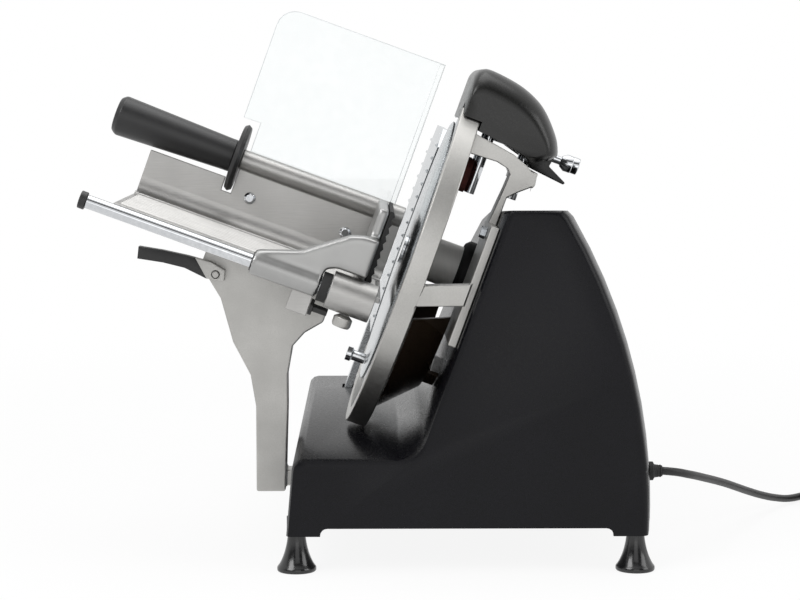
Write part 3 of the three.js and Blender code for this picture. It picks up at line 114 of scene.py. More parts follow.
def surface(name, main, shade, rough, metallic=0.0, patch_mm=40.0, grain_mm=1.0, bump=0.1,
            stretch=(1, 1, 1), turn=(0, 0, 0), **fixed):
    """A finish: two close colours in soft patches, a fine grain in gloss and relief."""
    made = bpy.data.materials.new(name)
    made.use_nodes = True
    tree = made.node_tree
    shader = tree.nodes["Principled BSDF"]
    place = node(tree, "ShaderNodeTexCoord").outputs["Object"]
    grain_place = node(tree, "ShaderNodeMapping", {"Vector": place, "Rotation": turn, "Scale": stretch})
    patches = node(tree, "ShaderNodeTexNoise", {"Vector": place, "Scale": per_mm(patch_mm), "Detail": 4.0})
    grain = node(tree, "ShaderNodeTexNoise", {"Vector": grain_place.outputs["Vector"],
                                              "Scale": per_mm(grain_mm), "Detail": 3.0})
    both = node(tree, "ShaderNodeMath", {0: patches.outputs["Fac"], 1: grain.outputs["Fac"]},
                operation="MULTIPLY")
    spread = node(tree, "ShaderNodeMapRange", {"Value": both.outputs["Value"],
                                               "From Min": 0.12, "From Max": 0.4})
    tint = node(tree, "ShaderNodeMix", {"Factor": spread.outputs["Result"],
                                        6: colour(shade), 7: colour(main)}, data_type="RGBA")
    gloss = node(tree, "ShaderNodeMapRange", {"Value": grain.outputs["Fac"], "From Min": 0.3, "From Max": 0.7,
                                              "To Min": rough[0], "To Max": rough[1]})
    relief = node(tree, "ShaderNodeBump", {"Height": grain.outputs["Fac"], "Strength": bump,
                                           "Distance": grain_mm * MM * 0.4})
    tree.links.new(tint.outputs[2], shader.inputs["Base Color"])
    tree.links.new(gloss.outputs["Result"], shader.inputs["Roughness"])
    tree.links.new(relief.outputs["Normal"], shader.inputs["Normal"])
    shader.inputs["Metallic"].default_value = metallic
    for socket, value in fixed.items():
        shader.inputs[socket.replace("_", " ")].default_value = value
    return made


ALONG_SLOPE = (0, -TILT, 0)  # turns a grain to run down the leaning unit
# Powder coat on the cast body: near black, a satin sheen with the orange-peel of the spray
satin_paint = surface("satin_powder_coat", "#101014", "#0c0c0f", (0.25, 0.33), patch_mm=60, grain_mm=2.4,
                      bump=0.03, IOR=1.5, Specular_IOR_Level=0.18)
# Anodised cast aluminium: bead-blasted, so soft grey with a fine sparkle
cast_aluminium = surface("cast_aluminium", "#bdbcb9", "#adaca9", (0.36, 0.50), 1.0, patch_mm=26,
                         grain_mm=0.9, bump=0.10)
# Rolled tray sheet: brushed along the slope
tray_aluminium = surface("brushed_aluminium", "#bcbbb9", "#acaba9", (0.34, 0.46), 1.0, patch_mm=34,
                         grain_mm=0.8, bump=0.08, stretch=(0.05, 1, 1), turn=ALONG_SLOPE)
# Polished and anodised aluminium of the gauge and blade cover
polished_aluminium = surface("polished_aluminium", "#c2c5c7", "#b3b7ba", (0.20, 0.32), 1.0, patch_mm=30,
                             grain_mm=0.7, bump=0.015, stretch=(0.08, 1, 1), turn=ALONG_SLOPE)
# Tumbled casting of the pusher arm: smooth, with a soft mirror
tumbled_aluminium = surface("tumbled_aluminium", "#a9a9a8", "#a2a2a1", (0.34, 0.38), 1.0, patch_mm=60,
                            grain_mm=14.0, bump=0.0)
# Turned hub: fine lathe lines across the axis; its near-white, barely metallic colour is painted light,
# lightening the hub where it sits in shade
turned_aluminium_painted_bright = surface("turned_aluminium_painted_bright", "#eeede9", "#e4e3df", (0.42, 0.52), 0.1, patch_mm=30,
                           grain_mm=0.9, bump=0.02, stretch=(1, 0.05, 0.05), turn=ALONG_SLOPE)
# Ground stainless steel of the blade and small hardware
ground_steel = surface("ground_steel", "#b4b8bc", "#9a9ea3", (0.20, 0.34), 1.0, patch_mm=22, grain_mm=0.6,
                       bump=0.05)
# Chromium plate: mirror bright with faint wiping marks
chrome = surface("chromium_plate", "#d4d6d8", "#c4c6c9", (0.05, 0.12), 1.0, patch_mm=18, grain_mm=2.5,
                 bump=0.01)
# Moulded ABS: black with a spark-eroded texture
black_abs = surface("moulded_abs", "#1b1b1c", "#141415", (0.34, 0.46), patch_mm=24, grain_mm=0.8,
                    bump=0.10, IOR=1.53)
# Gloss phenolic of the feet
black_gloss = surface("gloss_phenolic", "#121213", "#0d0d0e", (0.14, 0.24), patch_mm=18, grain_mm=2.0,
                      bump=0.03, IOR=1.6)
# Hood of the sharpener: near-black nylon with a fine sand texture
hood_nylon = surface("sanded_nylon", "#121211", "#0d0d0c", (0.26, 0.34), patch_mm=30, grain_mm=1.2,
                     bump=0.03, IOR=1.53, Specular_IOR_Level=0.4)
# Rubber: matt with a dusty bloom
rubber = surface("soft_rubber", "#232323", "#1b1b1b", (0.62, 0.78), patch_mm=14, grain_mm=0.7, bump=0.14)
# PVC sheath of the cord
cord_pvc = surface("pvc_sheath", "#131314", "#0e0e0f", (0.42, 0.56), patch_mm=20, grain_mm=1.0,
                   bump=0.05, IOR=1.53)
# Deflector sheet: dark brown with a wet gloss; the dark brown is painted shade, standing in for the shadow
# and dark reflections on the steel sheet
sheet_painted_shade = surface("sheet_painted_shade", "#2a2119", "#211a13", (0.12, 0.22), patch_mm=26, grain_mm=3.0,
                       bump=0.02, IOR=1.5)
# Vitrified grinding stone
grit_stone = surface("grit_stone", "#6a322c", "#43201c", (0.82, 0.95), patch_mm=3, grain_mm=0.5, bump=0.6)
# Coloured ABS of the switch's buttons
red_abs = surface("red_abs", "#b02a22", "#9a231c", (0.28, 0.38), patch_mm=12, grain_mm=0.8,
                  bump=0.06, IOR=1.53)
green_abs = surface("green_abs", "#2f7d46", "#276a3b", (0.28, 0.38), patch_mm=12, grain_mm=0.8,
                    bump=0.06, IOR=1.53)
# Clear cast acrylic, faintly cool
clear_acrylic = surface("clear_acrylic", "#f6f8f8", "#f2f5f5", (0.01, 0.03), patch_mm=60, grain_mm=8,
                        bump=0.0, IOR=1.49, Transmission_Weight=1.0)
# Its sawn edge: frosted and greyer
sawn_acrylic = surface("sawn_acrylic", "#d3d8d9", "#c2c8ca", (0.3, 0.42), patch_mm=20, grain_mm=0.8,
                       bump=0.05, IOR=1.49)

FINISH = {"paint": satin_paint, "cast_aluminium": cast_aluminium, "polished_aluminium": polished_aluminium,
          "steel": ground_steel, "chrome": chrome, "black_plastic": black_abs, "rubber": rubber,
          "dark_sheet": sheet_painted_shade, "stone": grit_stone, "red_plastic": red_abs,
          "green_plastic": green_abs, "clear_plastic": clear_acrylic}
for name, piece in nodes.items():
    piece.data.materials.clear()
    piece.data.materials.append(FINISH[slot_of[name]])

# ---------------------------------------------------------------- makers

CRISP = 38  # degrees: an edge sharper than this stays crisp, or gets a bevel
LATHE_CRISP = 32  # the same for turned forms
MERGE_WITHIN = 5e-6  # metres between corners that are one
FLAT_WITHIN = math.radians(0.5)  # between triangles of one flat face


def shown(name, mesh, finish, body, stands_for=()):
    """Puts a finished mesh in the scene, riding on its body."""
    mesh.materials.clear()
    mesh.materials.append(finish)
    made = bpy.data.objects.new(name, mesh)
    scene.collection.objects.link(made)
    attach(made, body)
    if stands_for:
        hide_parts(*stands_for)
    return made


def baked(mesh, *modifiers):
    """The mesh after its modifiers, as a plain mesh. Each modifier is (kind, settings)."""
    carrier = bpy.data.objects.new("carrier", mesh)
    scene.collection.objects.link(carrier)
    for kind, settings in modifiers:
        modifier = carrier.modifiers.new(kind.lower(), kind)
        for name, value in settings.items():
            setattr(modifier, name, value)
    bpy.context.view_layer.update()
    done = bpy.data.meshes.new_from_object(carrier.evaluated_get(bpy.context.evaluated_depsgraph_get()))
    bpy.data.objects.remove(carrier)
    return done


def smooth_by_angle(mesh, degrees):
    """Smooth shading, with edges sharper than this kept crisp."""
    work = bmesh.new()
    work.from_mesh(mesh)
    for face in work.faces:
        face.smooth = True
    for edge in work.edges:
        edge.smooth = len(edge.link_faces) == 2 and edge.calc_face_angle(math.pi) < math.radians(degrees)
    work.to_mesh(mesh)
    work.free()
    return mesh


def merged_copy(name):
    """A CAD node's mesh with its loose triangles merged and its flat faces whole."""
    source = nodes[name].data
    mesh = bpy.data.meshes.new(name + "_surface")
    mesh.from_pydata([v.co for v in source.vertices], [], [list(p.vertices) for p in source.polygons])
    work = bmesh.new()
    work.from_mesh(mesh)
    bmesh.ops.remove_doubles(work, verts=work.verts, dist=MERGE_WITHIN)
    bmesh.ops.dissolve_limit(work, angle_limit=FLAT_WITHIN, verts=work.verts, edges=work.edges)
    work.to_mesh(mesh)
    work.free()
    return mesh


def dressed(name, finish, bevel_mm=0.0, crisp=CRISP):
    """A CAD node with merged, smooth faces and softened edges, in its place."""
    mesh = smooth_by_angle(merged_copy(name), crisp)
    if bevel_mm:
        mesh = baked(mesh, ("BEVEL", dict(width=bevel_mm * MM, segments=2, limit_method="ANGLE",
                                          angle_limit=math.radians(crisp), use_clamp_overlap=False,
                                          harden_normals=True)))
    return shown(name + "_surface", mesh, finish, body_of[name], [name])


def soft_cast(name, finish, voxel_mm, rounds):
    """A CAD node with the wide, flowing corners of a casting, in its place."""
    mesh = baked(merged_copy(name),
                 ("REMESH", dict(mode="VOXEL", voxel_size=voxel_mm * MM, use_smooth_shade=True)),
                 ("SMOOTH", dict(factor=0.5, iterations=rounds)))
    return shown(name + "_surface", smooth_by_angle(mesh, 60), finish, body_of[name], [name])


def closed(work, name):
    """The working mesh as a new mesh, with its faces turned outwards."""
    bmesh.ops.recalc_face_normals(work, faces=work.faces)
    mesh = bpy.data.meshes.new(name)
    work.to_mesh(mesh)
    work.free()
    return mesh


def bridged(work, rings):
    """Joins each ring of corners to the next by four-sided faces."""
    for near, far in zip(rings, rings[1:]):
        for i in range(len(near)):
            j = (i + 1) % len(near)
            work.faces.new((near[i], near[j], far[j], far[i]))


def turned(profile, place, sides=48):
    """A lathe form: (radius, height) pairs in mm about +Z, then moved by a matrix in metres."""
    work = bmesh.new()
    rings = []
    for radius, height in profile:
        if radius < 1e-6:
            rings.append([work.verts.new((0, 0, height * MM))])
        else:
            rings.append([work.verts.new((radius * MM * math.cos(t), radius * MM * math.sin(t), height * MM))
                          for t in (2 * math.pi * i / sides for i in range(sides))])
    for low, high in zip(rings, rings[1:]):
        for i in range(sides):
            j = (i + 1) % sides
            corners = [low[i % len(low)], low[j % len(low)], high[j % len(high)], high[i % len(high)]]
            work.faces.new(list(dict.fromkeys(corners)))
    work.transform(place)
    return smooth_by_angle(closed(work, "turned"), LATHE_CRISP)


def leaning_loft(sections):
    """A closed form through sections of (a, y, c) points in the leaning unit."""
    work = bmesh.new()
    rings = [[work.verts.new(leaning(*point)) for point in section] for section in sections]
    bridged(work, rings)
    work.faces.new(rings[0])
    work.faces.new(rings[-1])
    return closed(work, "loft")


def at(point, *turns):
    """The matrix that turns a form and then moves it to a point."""
    matrix = Matrix.Translation(point)
    for turn in turns:
        matrix = matrix @ turn
    return matrix


def repeated(name, pattern, spots, finish, body, stands_for=()):
    """One small mesh set at many places by Geometry Nodes, made a plain mesh."""
    pattern_piece = bpy.data.objects.new(name + "_pattern", pattern)
    scene.collection.objects.link(pattern_piece)
    places = bpy.data.meshes.new(name + "_places")
    places.from_pydata([spot.to_translation() for spot in spots], [], [])
    turns = places.attributes.new("turn", "FLOAT_VECTOR", "POINT")
    for row, spot in zip(turns.data, spots):
        row.vector = spot.to_euler()
    tree = bpy.data.node_groups.new(name + "_set", "GeometryNodeTree")
    tree.interface.new_socket("Places", in_out="INPUT", socket_type="NodeSocketGeometry")
    wanted = {"Pattern": ("NodeSocketObject", pattern_piece), "Size": ("NodeSocketFloat", 1.0),
              "Finish": ("NodeSocketMaterial", finish)}
    sockets = {title: tree.interface.new_socket(title, in_out="INPUT", socket_type=kind)
               for title, (kind, _) in wanted.items()}
    tree.interface.new_socket("Set", in_out="OUTPUT", socket_type="NodeSocketGeometry")
    given = node(tree, "NodeGroupInput").outputs
    turn = node(tree, "GeometryNodeInputNamedAttribute", {"Name": "turn"}, data_type="FLOAT_VECTOR")
    spin = node(tree, "FunctionNodeEulerToRotation", {"Euler": turn.outputs["Attribute"]})
    form = node(tree, "GeometryNodeObjectInfo", {"Object": given["Pattern"]})
    many = node(tree, "GeometryNodeInstanceOnPoints", {
        "Points": given["Places"], "Instance": form.outputs["Geometry"],
        "Rotation": spin.outputs["Rotation"], "Scale": given["Size"]})
    solid = node(tree, "GeometryNodeRealizeInstances", {"Geometry": many.outputs["Instances"]})
    coated = node(tree, "GeometryNodeSetMaterial", {"Geometry": solid.outputs["Geometry"],
                                                    "Material": given["Finish"]})
    node(tree, "NodeGroupOutput", {"Set": coated.outputs["Geometry"]})
    carrier = bpy.data.objects.new(name + "_carrier", places)
    modifier = carrier.modifiers.new("set", "NODES")
    modifier.node_group = tree
    for title, (_, value) in wanted.items():
        modifier[sockets[title].identifier] = value
    scene.collection.objects.link(carrier)
    bpy.context.view_layer.update()
    mesh = bpy.data.meshes.new_from_object(carrier.evaluated_get(bpy.context.evaluated_depsgraph_get()))
    for done in (carrier, pattern_piece):
        bpy.data.objects.remove(done)
    return shown(name, mesh, finish, body, stands_for)


# ---------------------------------------------------------------- mains cord

CORD_D = 6.0
COIL_AT = (398.5, 246.4)
COIL_R = 44.6
COIL_START = 127.0  # degrees round the coil where the lead joins it
COIL_TURNS = 5 + COIL_START / 360
COIL_STEPS = 24  # to a turn
COIL_LAYER = 6.7  # between turns, and between the two layers
PLUG_REACH = 34.0  # from the coil's end into the plug
LEAD = [(210.04, 60, 62.8), (214, 60, 62.5), (222, 62.4, 61.2), (229.5, 68.5, 58.8), (236.5, 79, 55.8),
        (246, 96, 51), (257, 117, 45.2), (268.5, 138, 39), (280.5, 160, 32), (295, 187, 23.4),
        (311, 213, 15), (326, 235, 8.6), (340, 252.5, 4.6)]


def coil_point(turn):
    """The cord's middle line in the coil: inwards on the table, then outwards on top."""
    to_middle = COIL_TURNS / 2 - abs(turn - COIL_TURNS / 2)
    radius = COIL_R - COIL_LAYER * to_middle
    share = min(1.0, max(0.0, (turn - COIL_TURNS / 2 + 0.25) / 0.5))
    climb = share * share * (3 - 2 * share)
    angle = math.radians(COIL_START - 360 * turn)
    return Vector((COIL_AT[0] + radius * math.cos(angle), COIL_AT[1] + radius * math.sin(angle),
                   CORD_D / 2 + COIL_LAYER * climb))


coil_count = round(COIL_TURNS * COIL_STEPS)
coil = [coil_point(COIL_TURNS * i / coil_count) for i in range(coil_count + 1)]
ahead = (coil[0] - coil[1]).normalized() * CORD_D
route = [Vector(p) for p in LEAD] + [coil[0] + ahead * 2, coil[0] + ahead] + coil
route.append(coil[-1] + Vector((0, -PLUG_REACH, 0)))
line = bpy.data.curves.new("mains_cord", "CURVE")
line.dimensions = "3D"
line.bevel_depth = CORD_D / 2 * MM
line.bevel_resolution = 4
line.resolution_u = 4
line.use_fill_caps = True
spline = line.splines.new("BEZIER")
spline.bezier_points.add(len(route) - 1)
for knot, point in zip(spline.bezier_points, route):
    knot.co = level(*point)
    knot.handle_left_type = knot.handle_right_type = "AUTO"
line.materials.append(cord_pvc)
cord = bpy.data.objects.new("mains_cord", line)
scene.collection.objects.link(cord)
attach(cord, "frame")
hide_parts("cord_lead", "cord_coil")
plug = dressed("cord_plug", black_abs, 1.0)
TIE_AT = math.radians(215)  # round the coil, clear of the lead and the plug
TIE_BOX = ((23.4, 0.1), (44.6, 13.5))  # radius and height of its outer corners
TIE_WIDTH, TIE_T, TIE_CORNER = 7.0, 0.8, 4.0


def tie_loop(inset):
    """The tie's outline round the bundle of turns, as (radius, height)."""
    (r0, z0), (r1, z1) = TIE_BOX
    corner = TIE_CORNER - inset
    middles = [(r1 - TIE_CORNER, z1 - TIE_CORNER, 0), (r0 + TIE_CORNER, z1 - TIE_CORNER, 90),
               (r0 + TIE_CORNER, z0 + TIE_CORNER, 180), (r1 - TIE_CORNER, z0 + TIE_CORNER, 270)]
    return [(r + corner * math.cos(t), z + corner * math.sin(t))
            for r, z, start in middles for t in (math.radians(start + 15 * i) for i in range(7))]


def tie_form():
    """A flat strap round the coil's turns."""
    work = bmesh.new()
    outward = Vector((math.cos(TIE_AT), math.sin(TIE_AT), 0))
    across = Vector((-math.sin(TIE_AT), math.cos(TIE_AT), 0)) * TIE_WIDTH / 2
    middle = Vector((*COIL_AT, 0))
    rows = [[work.verts.new(level(*(middle + outward * r + across * side + Vector((0, 0, z)))))
             for r, z in tie_loop(inset)] for inset, side in ((0, -1), (0, 1), (TIE_T, 1), (TIE_T, -1))]
    bridged(work, rows + rows[:1])
    return smooth_by_angle(closed(work, "cord_tie"), 40)


tie = shown("cord_tie", tie_form(), rubber, "frame")

# ---------------------------------------------------------------- base

FOOT_SPOTS = [(-56, 14), (185, 14), (-56, 426), (185, 426)]
FOOT_PROFILE = [(0, 0), (13.4, 0), (13.9, 0.6), (14, 1.6), (13.9, 2.8), (13.3, 3.7), (12.3, 5.0), (11.0, 7.4),
                (9.7, 10.4), (8.6, 13.6), (7.7, 17), (7.0, 20.5), (6.5, 24), (6.25, 26.7), (0, 26.7)]
GLAND_YZ = (60.0, 62.8)
GLAND_RING_X = (204.2, 206.2, 208.2)
GLAND_RING = [(3.6, -0.6), (4.5, -0.4), (4.7, 0), (4.5, 0.4), (3.6, 0.6), (3.6, -0.6)]
SWITCH_XZ = (118.0, 58.0)
SWITCH_FACE = 442.3  # y of the plate's outer face
SCREW_OFF = (22.5, 10.5)  # its screws, from its middle
SCREW_HEAD = [(0, 0), (2.6, 0), (2.6, 0.5), (1.9, 1.2), (0.9, 1.5), (0.9, 0.7), (0, 0.7)]

dressed("base_casting", satin_paint, 0.0, 40)
dressed("bottom_cover", black_abs, 0.4)
repeated("feet", turned(FOOT_PROFILE, Matrix.Identity(4)),
         [Matrix.Translation(level(x, y, 0)) for x, y in FOOT_SPOTS], black_gloss, "frame",
         ["foot_near_left", "foot_near_right", "foot_far_left", "foot_far_right"])
dressed("cable_gland", rubber, 0.3)
repeated("gland_rings", turned(GLAND_RING, ALONG, 24),
         [Matrix.Translation(level(x, *GLAND_YZ)) for x in GLAND_RING_X], rubber, "frame")
dressed("switch_plate", cast_aluminium, 0.4)
screw_spots = [level(SWITCH_XZ[0] + x * SCREW_OFF[0], SWITCH_FACE, SWITCH_XZ[1] + z * SCREW_OFF[1])
               for x in (-1, 1) for z in (-1, 1)]
repeated("switch_screws", turned(SCREW_HEAD, OPERATOR, 24),
         [Matrix.Translation(spot) for spot in screw_spots], ground_steel, "frame")
dressed("index_dial", cast_aluminium, 0.3)
dressed("start_button", green_abs, 0.8)
dressed("stop_button", red_abs, 0.8)
dressed("thickness_knob", black_abs, 0.6)
KNOB_R = 19.0
KNOB_GRIPS = 24
KNOB_GRIP = [(0, -9), (0.9, -8.4), (1.1, 0), (0.9, 7), (0, 8.4)]
knob_low, knob_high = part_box("thickness_knob")
knob_middle = (Vector(knob_low) + Vector(knob_high)) / 2
repeated("knob_ribs", turned(KNOB_GRIP, OPERATOR, 10),
         [at(knob_middle, Matrix.Rotation(2 * math.pi * i / KNOB_GRIPS, 4, "Y"),
             Matrix.Translation((KNOB_R * MM, 0, 0))) for i in range(KNOB_GRIPS)],
         black_abs, body_of["thickness_knob"])


def plate_mesh(points, thick_mm):
    """A flat outline in mm on the XZ plane, given a thickness towards the operator."""
    work = bmesh.new()
    face = work.faces.new([work.verts.new((x * MM, 0, z * MM)) for x, z in points])
    raised = bmesh.ops.extrude_face_region(work, geom=[face])["geom"]
    bmesh.ops.translate(work, verts=[v for v in raised if isinstance(v, bmesh.types.BMVert)],
                        vec=(0, thick_mm * MM, 0))
    return closed(work, "plate")


DIAL_MARKS = 11
DIAL_SWEEP = 270.0  # degrees from the first mark to the last
MARK = [(19.2, -0.3), (20.8, -0.3), (20.8, 0.3), (19.2, 0.3)]
MARK_T = 0.15
dial_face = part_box("index_dial")[1][1]
dial_middle = Vector((knob_middle.x, dial_face, knob_middle.z))
mark_turns = [math.radians(DIAL_SWEEP * (i / (DIAL_MARKS - 1) - 0.5)) for i in range(DIAL_MARKS)]
repeated("dial_marks", plate_mesh(MARK, MARK_T),
         [at(dial_middle, Matrix.Rotation(t, 4, "Y")) for t in mark_turns],
         black_abs, "frame")

# ---------------------------------------------------------------- blade, hub and ring

dressed("blade", ground_steel)
dressed("blade_cover", polished_aluminium)
dressed("cover_tie_rod", chrome, 0.4)
dressed("cover_stud", chrome, 0.3)
# The hub's finish is painted light: near-white and barely metallic, to lighten it in its shade
dressed("spindle_housing", turned_aluminium_painted_bright, 0.4)
dressed("housing_flange", rubber, 0.6)
dressed("ring_guard", cast_aluminium, 1.0)
dressed("flange_bolt", ground_steel, 0.4)
# The deflector's dark brown is painted shade, for the shadow and dark reflections on it
dressed("slice_deflector", sheet_painted_shade, 0.3)
dressed("gauge_plate", polished_aluminium, 0.3)

# ---------------------------------------------------------------- carriage

dressed("carriage_leg", cast_aluminium, 1.4)
dressed("tray", tray_aluminium, 0.6)

TRAY_ENDS = (-213.4, -9.6)  # a of the tray's two ends
WALL_FACE, BED_TOP = 211.0, -34.0  # y of the tray's wall and c of its bed
COVE_R = 14.0  # the rounded fold between them
RIDGE_R = 2.4  # a ridge pressed along the fold's foot
RIDGE_Y = WALL_FACE - COVE_R - RIDGE_R


def cove_section(a):
    """The fold and its ridge across the tray, set a little into the wall and bed."""
    into = 0.8
    fold = [(WALL_FACE - COVE_R + COVE_R * math.cos(t), BED_TOP + COVE_R - COVE_R * math.sin(t))
            for t in (math.radians(9 * i) for i in range(11))]
    ridge = [(RIDGE_Y + RIDGE_R * math.cos(t), BED_TOP + RIDGE_R * math.sin(t))
             for t in (math.radians(22.5 * i) for i in range(1, 9))]
    foot = [(RIDGE_Y - RIDGE_R, BED_TOP - into), (WALL_FACE + into, BED_TOP - into),
            (WALL_FACE + into, BED_TOP + COVE_R)]
    return [(a, y, c) for y, c in fold + ridge + foot]


shown("tray_cove", smooth_by_angle(leaning_loft([cove_section(a) for a in TRAY_ENDS]), CRISP), tray_aluminium,
      body_of["tray"])


def part_of(name, point, normal):
    """The side of a CAD node's copy that the normal points away from, closed at the cut."""
    mesh = merged_copy(name)
    work = bmesh.new()
    work.from_mesh(mesh)
    halved = bmesh.ops.bisect_plane(work, geom=[*work.verts, *work.edges, *work.faces], plane_co=point,
                                    plane_no=normal, clear_outer=True)
    bmesh.ops.holes_fill(work, edges=[e for e in halved["geom_cut"] if isinstance(e, bmesh.types.BMEdge)])
    work.to_mesh(mesh)
    work.free()
    return smooth_by_angle(baked(mesh, ("BEVEL", dict(width=1.0 * MM, segments=2, limit_method="ANGLE",
                                                      angle_limit=math.radians(CRISP)))), CRISP)


GRIP_END = level(-130, 0, 208)  # where the lever's grip meets its shank
GRIP_WAY = Vector((0.88, 0, 0.47))  # from the grip to the shank
shown("lever_grip", part_of("tray_lever", GRIP_END, GRIP_WAY), black_abs, body_of["tray_lever"],
      ["tray_lever"])
shown("lever_shank", part_of("tray_lever", GRIP_END, -GRIP_WAY), cast_aluminium, body_of["tray_lever"])
dressed("tray_screw_left", chrome, 0.3)
dressed("tray_screw_right", chrome, 0.3)
dressed("hand_guard", clear_acrylic, 0.4)


def sawn_rim(name, width_mm, thick_mm):
    """A skin on a sheet's narrow edge faces, which the saw leaves greyer than the sheet.

    The end of the fold, which faces the operator, is polished and has none.
    """
    mesh = merged_copy(name)
    work = bmesh.new()
    work.from_mesh(mesh)
    bare = [f for f in work.faces
            if 2 * f.calc_area() / f.calc_perimeter() > width_mm * MM or f.normal.y > 0.5]
    bmesh.ops.delete(work, geom=bare, context="FACES")
    work.to_mesh(mesh)
    work.free()
    return baked(mesh, ("SOLIDIFY", dict(thickness=thick_mm * MM, offset=1.0)))


shown("guard_rim", sawn_rim("hand_guard", 4.6, 0.3), sawn_acrylic, body_of["hand_guard"])
dressed("handle_flange", black_abs, 0.6)
dressed("handle_grip", black_abs, 1.2)
dressed("pusher_rod", chrome, 0.3)
dressed("rod_cap", black_abs, 0.6)
dressed("rod_bumper", rubber, 0.4)
dressed("rod_clamp_knob", cast_aluminium, 0.5)
dressed("stop_pin", black_abs, 0.4)
dressed("pusher_bush", black_abs, 0.2)
soft_cast("pusher_arm", tumbled_aluminium, 1.3, 18)
dressed("pusher_pad", rubber, 0.2)

# ---------------------------------------------------------------- sharpener

HOOD_TOP = [(0, 136), (0.5, 142), (4, 147), (12, 149), (34, 146), (50, 140), (61, 132), (72, 119.5),
            (77, 110), (77.5, 106)]
HOOD_UNDER = [(70, 98.5), (63, 94.6), (46, 99.8), (20, 104), (0, 108.5)]
HOOD_MIDDLE = (20.0, 104.0)  # the rounded ends draw in towards this
HOOD_LEAST = (0.82, 0.58)  # how far they do, along the axis and upwards
HOOD_HOLLOW = ((39.0, 121.0), 0.858, 10.0)  # middle, share and drop of the hollow
HOOD_Y = (66.0, 190.0)
HOOD_END = 24.0  # how far in from each end the hood is rounded
TONGUE = [(58, 97), (64, 91.2), (90, 88.3), (91, 90), (75.5, 97.5), (77, 105), (74, 109)]
TONGUE_Y = (96.0, 176.0)
RING_SLOT = (125.8, 139.5, 120, 170, -1.5, 16.5)  # radii, degrees and a of the room for the ring's end
HOOD_WALL = 6.0  # of the two ends
BLADE_SLOT = (127.5, 2.5, 11.5)  # radius and a of the room for the blade's rim
PUSH_HOLES = [(122, 86.5), (158, 95)]  # y and far end of each
PUSH_HOLE_R, PUSH_HOLE_A, PUSH_C = 3.3, 39.0, 104.0
POST = (59.5, 140.0)  # a and y of the post the hood lifts on
BOSS = (7.3, 104.0, 127.0)  # radius, foot and top round the post
BORE = (4.3, 64.0, 124.3)


def through(points, steps):
    """A smooth line through the points (Catmull-Rom), with this many steps to a stretch."""
    ends = [points[0], *points, points[-1]]
    line_points = []
    for p, q, r, s in zip(ends, ends[1:], ends[2:], ends[3:]):
        for i in range(steps):
            t = i / steps
            line_points.append(tuple(0.5 * (2 * q[k] + (r[k] - p[k]) * t
                                            + (2 * p[k] - 5 * q[k] + 4 * r[k] - s[k]) * t * t
                                            + (3 * q[k] - p[k] - 3 * r[k] + s[k]) * t ** 3) for k in (0, 1)))
    return [*line_points, points[-1]]


HOOD_OUTLINE = through(HOOD_TOP, 5) + HOOD_UNDER


def hood_section(y, middle, shares, drop=0.0):
    """The hood's outline at y, drawn in towards a middle and lowered."""
    return [(middle[0] + (a - middle[0]) * shares[0], y, middle[1] + (c - middle[1]) * shares[1] - drop)
            for a, c in HOOD_OUTLINE]


def hood_shares(inset):
    """How large the outline is at this distance from an end, along a quarter round."""
    bulge = math.sqrt(max(0.0, 1 - (1 - min(inset, HOOD_END) / HOOD_END) ** 2))
    return [least + (1 - least) * bulge for least in HOOD_LEAST]


HOOD_STEPS = [0, 0.3, 1, 2.2, 4, 6.4, 9.4, 13.2, 18, HOOD_END]
hood_ends = [hood_section(HOOD_Y[0] + step, HOOD_MIDDLE, hood_shares(step)) for step in HOOD_STEPS]
hood_ends += [hood_section(HOOD_Y[1] - step, HOOD_MIDDLE, hood_shares(step)) for step in reversed(HOOD_STEPS)]
hollow_middle, hollow_share, hollow_drop = HOOD_HOLLOW
hollow = leaning_loft([hood_section(y, hollow_middle, (hollow_share, hollow_share), hollow_drop)
                       for y in (HOOD_Y[0] + HOOD_WALL, HOOD_Y[1] - HOOD_WALL)])
tongue = baked(leaning_loft([[(a, y, c) for a, c in TONGUE] for y in TONGUE_Y]),
               ("BEVEL", dict(width=0.8 * MM, segments=2, limit_method="ANGLE")))
r_in, r_out, first, last, a_from, a_to = RING_SLOT
slot_arc = [(r, math.radians(first + (last - first) * i / 12)) for r in (r_in, r_out) for i in range(13)]
slot_arc = slot_arc[:13] + slot_arc[:12:-1]
ring_slot = leaning_loft([[(a, HUB.y + r * math.cos(t), r * math.sin(t)) for r, t in slot_arc]
                          for a in (a_from, a_to)])


def drum(radius, low, high, place, sides):
    """A plain cylinder about the place's own +Z."""
    return turned([(0, low), (radius, low), (radius, high), (0, high)], place, sides)


blade_slot = drum(*BLADE_SLOT, at(leaning(0, HUB.y, 0), LEAN, ALONG), 96)
boss, bore = [drum(*sizes, at(leaning(*POST, 0), LEAN), 32) for sizes in (BOSS, BORE)]
push_holes = [drum(PUSH_HOLE_R, PUSH_HOLE_A, end, at(leaning(0, y, PUSH_C), LEAN, ALONG), 24)
              for y, end in PUSH_HOLES]
hood = leaning_loft(hood_ends)
for way, tools in (("DIFFERENCE", [hollow]), ("UNION", [boss, tongue]),
                   ("DIFFERENCE", [bore, blade_slot, ring_slot, *push_holes])):
    for tool in tools:
        cutter = bpy.data.objects.new("cutter", tool)
        scene.collection.objects.link(cutter)
        hood = baked(hood, ("BOOLEAN", dict(object=cutter, operation=way, solver="EXACT")))
        bpy.data.objects.remove(cutter)
shown("hood", smooth_by_angle(hood, 40), hood_nylon, "sharpener", ["sharpener_hood"])
dressed("sharpener_post", chrome, 0.3)
for side in ("near", "far"):
    dressed(f"sharpener_knob_{side}", chrome, 0.5)
    dressed(f"grinding_stone_{side}", grit_stone, 0.4)

# ---------------------------------------------------------------- studio

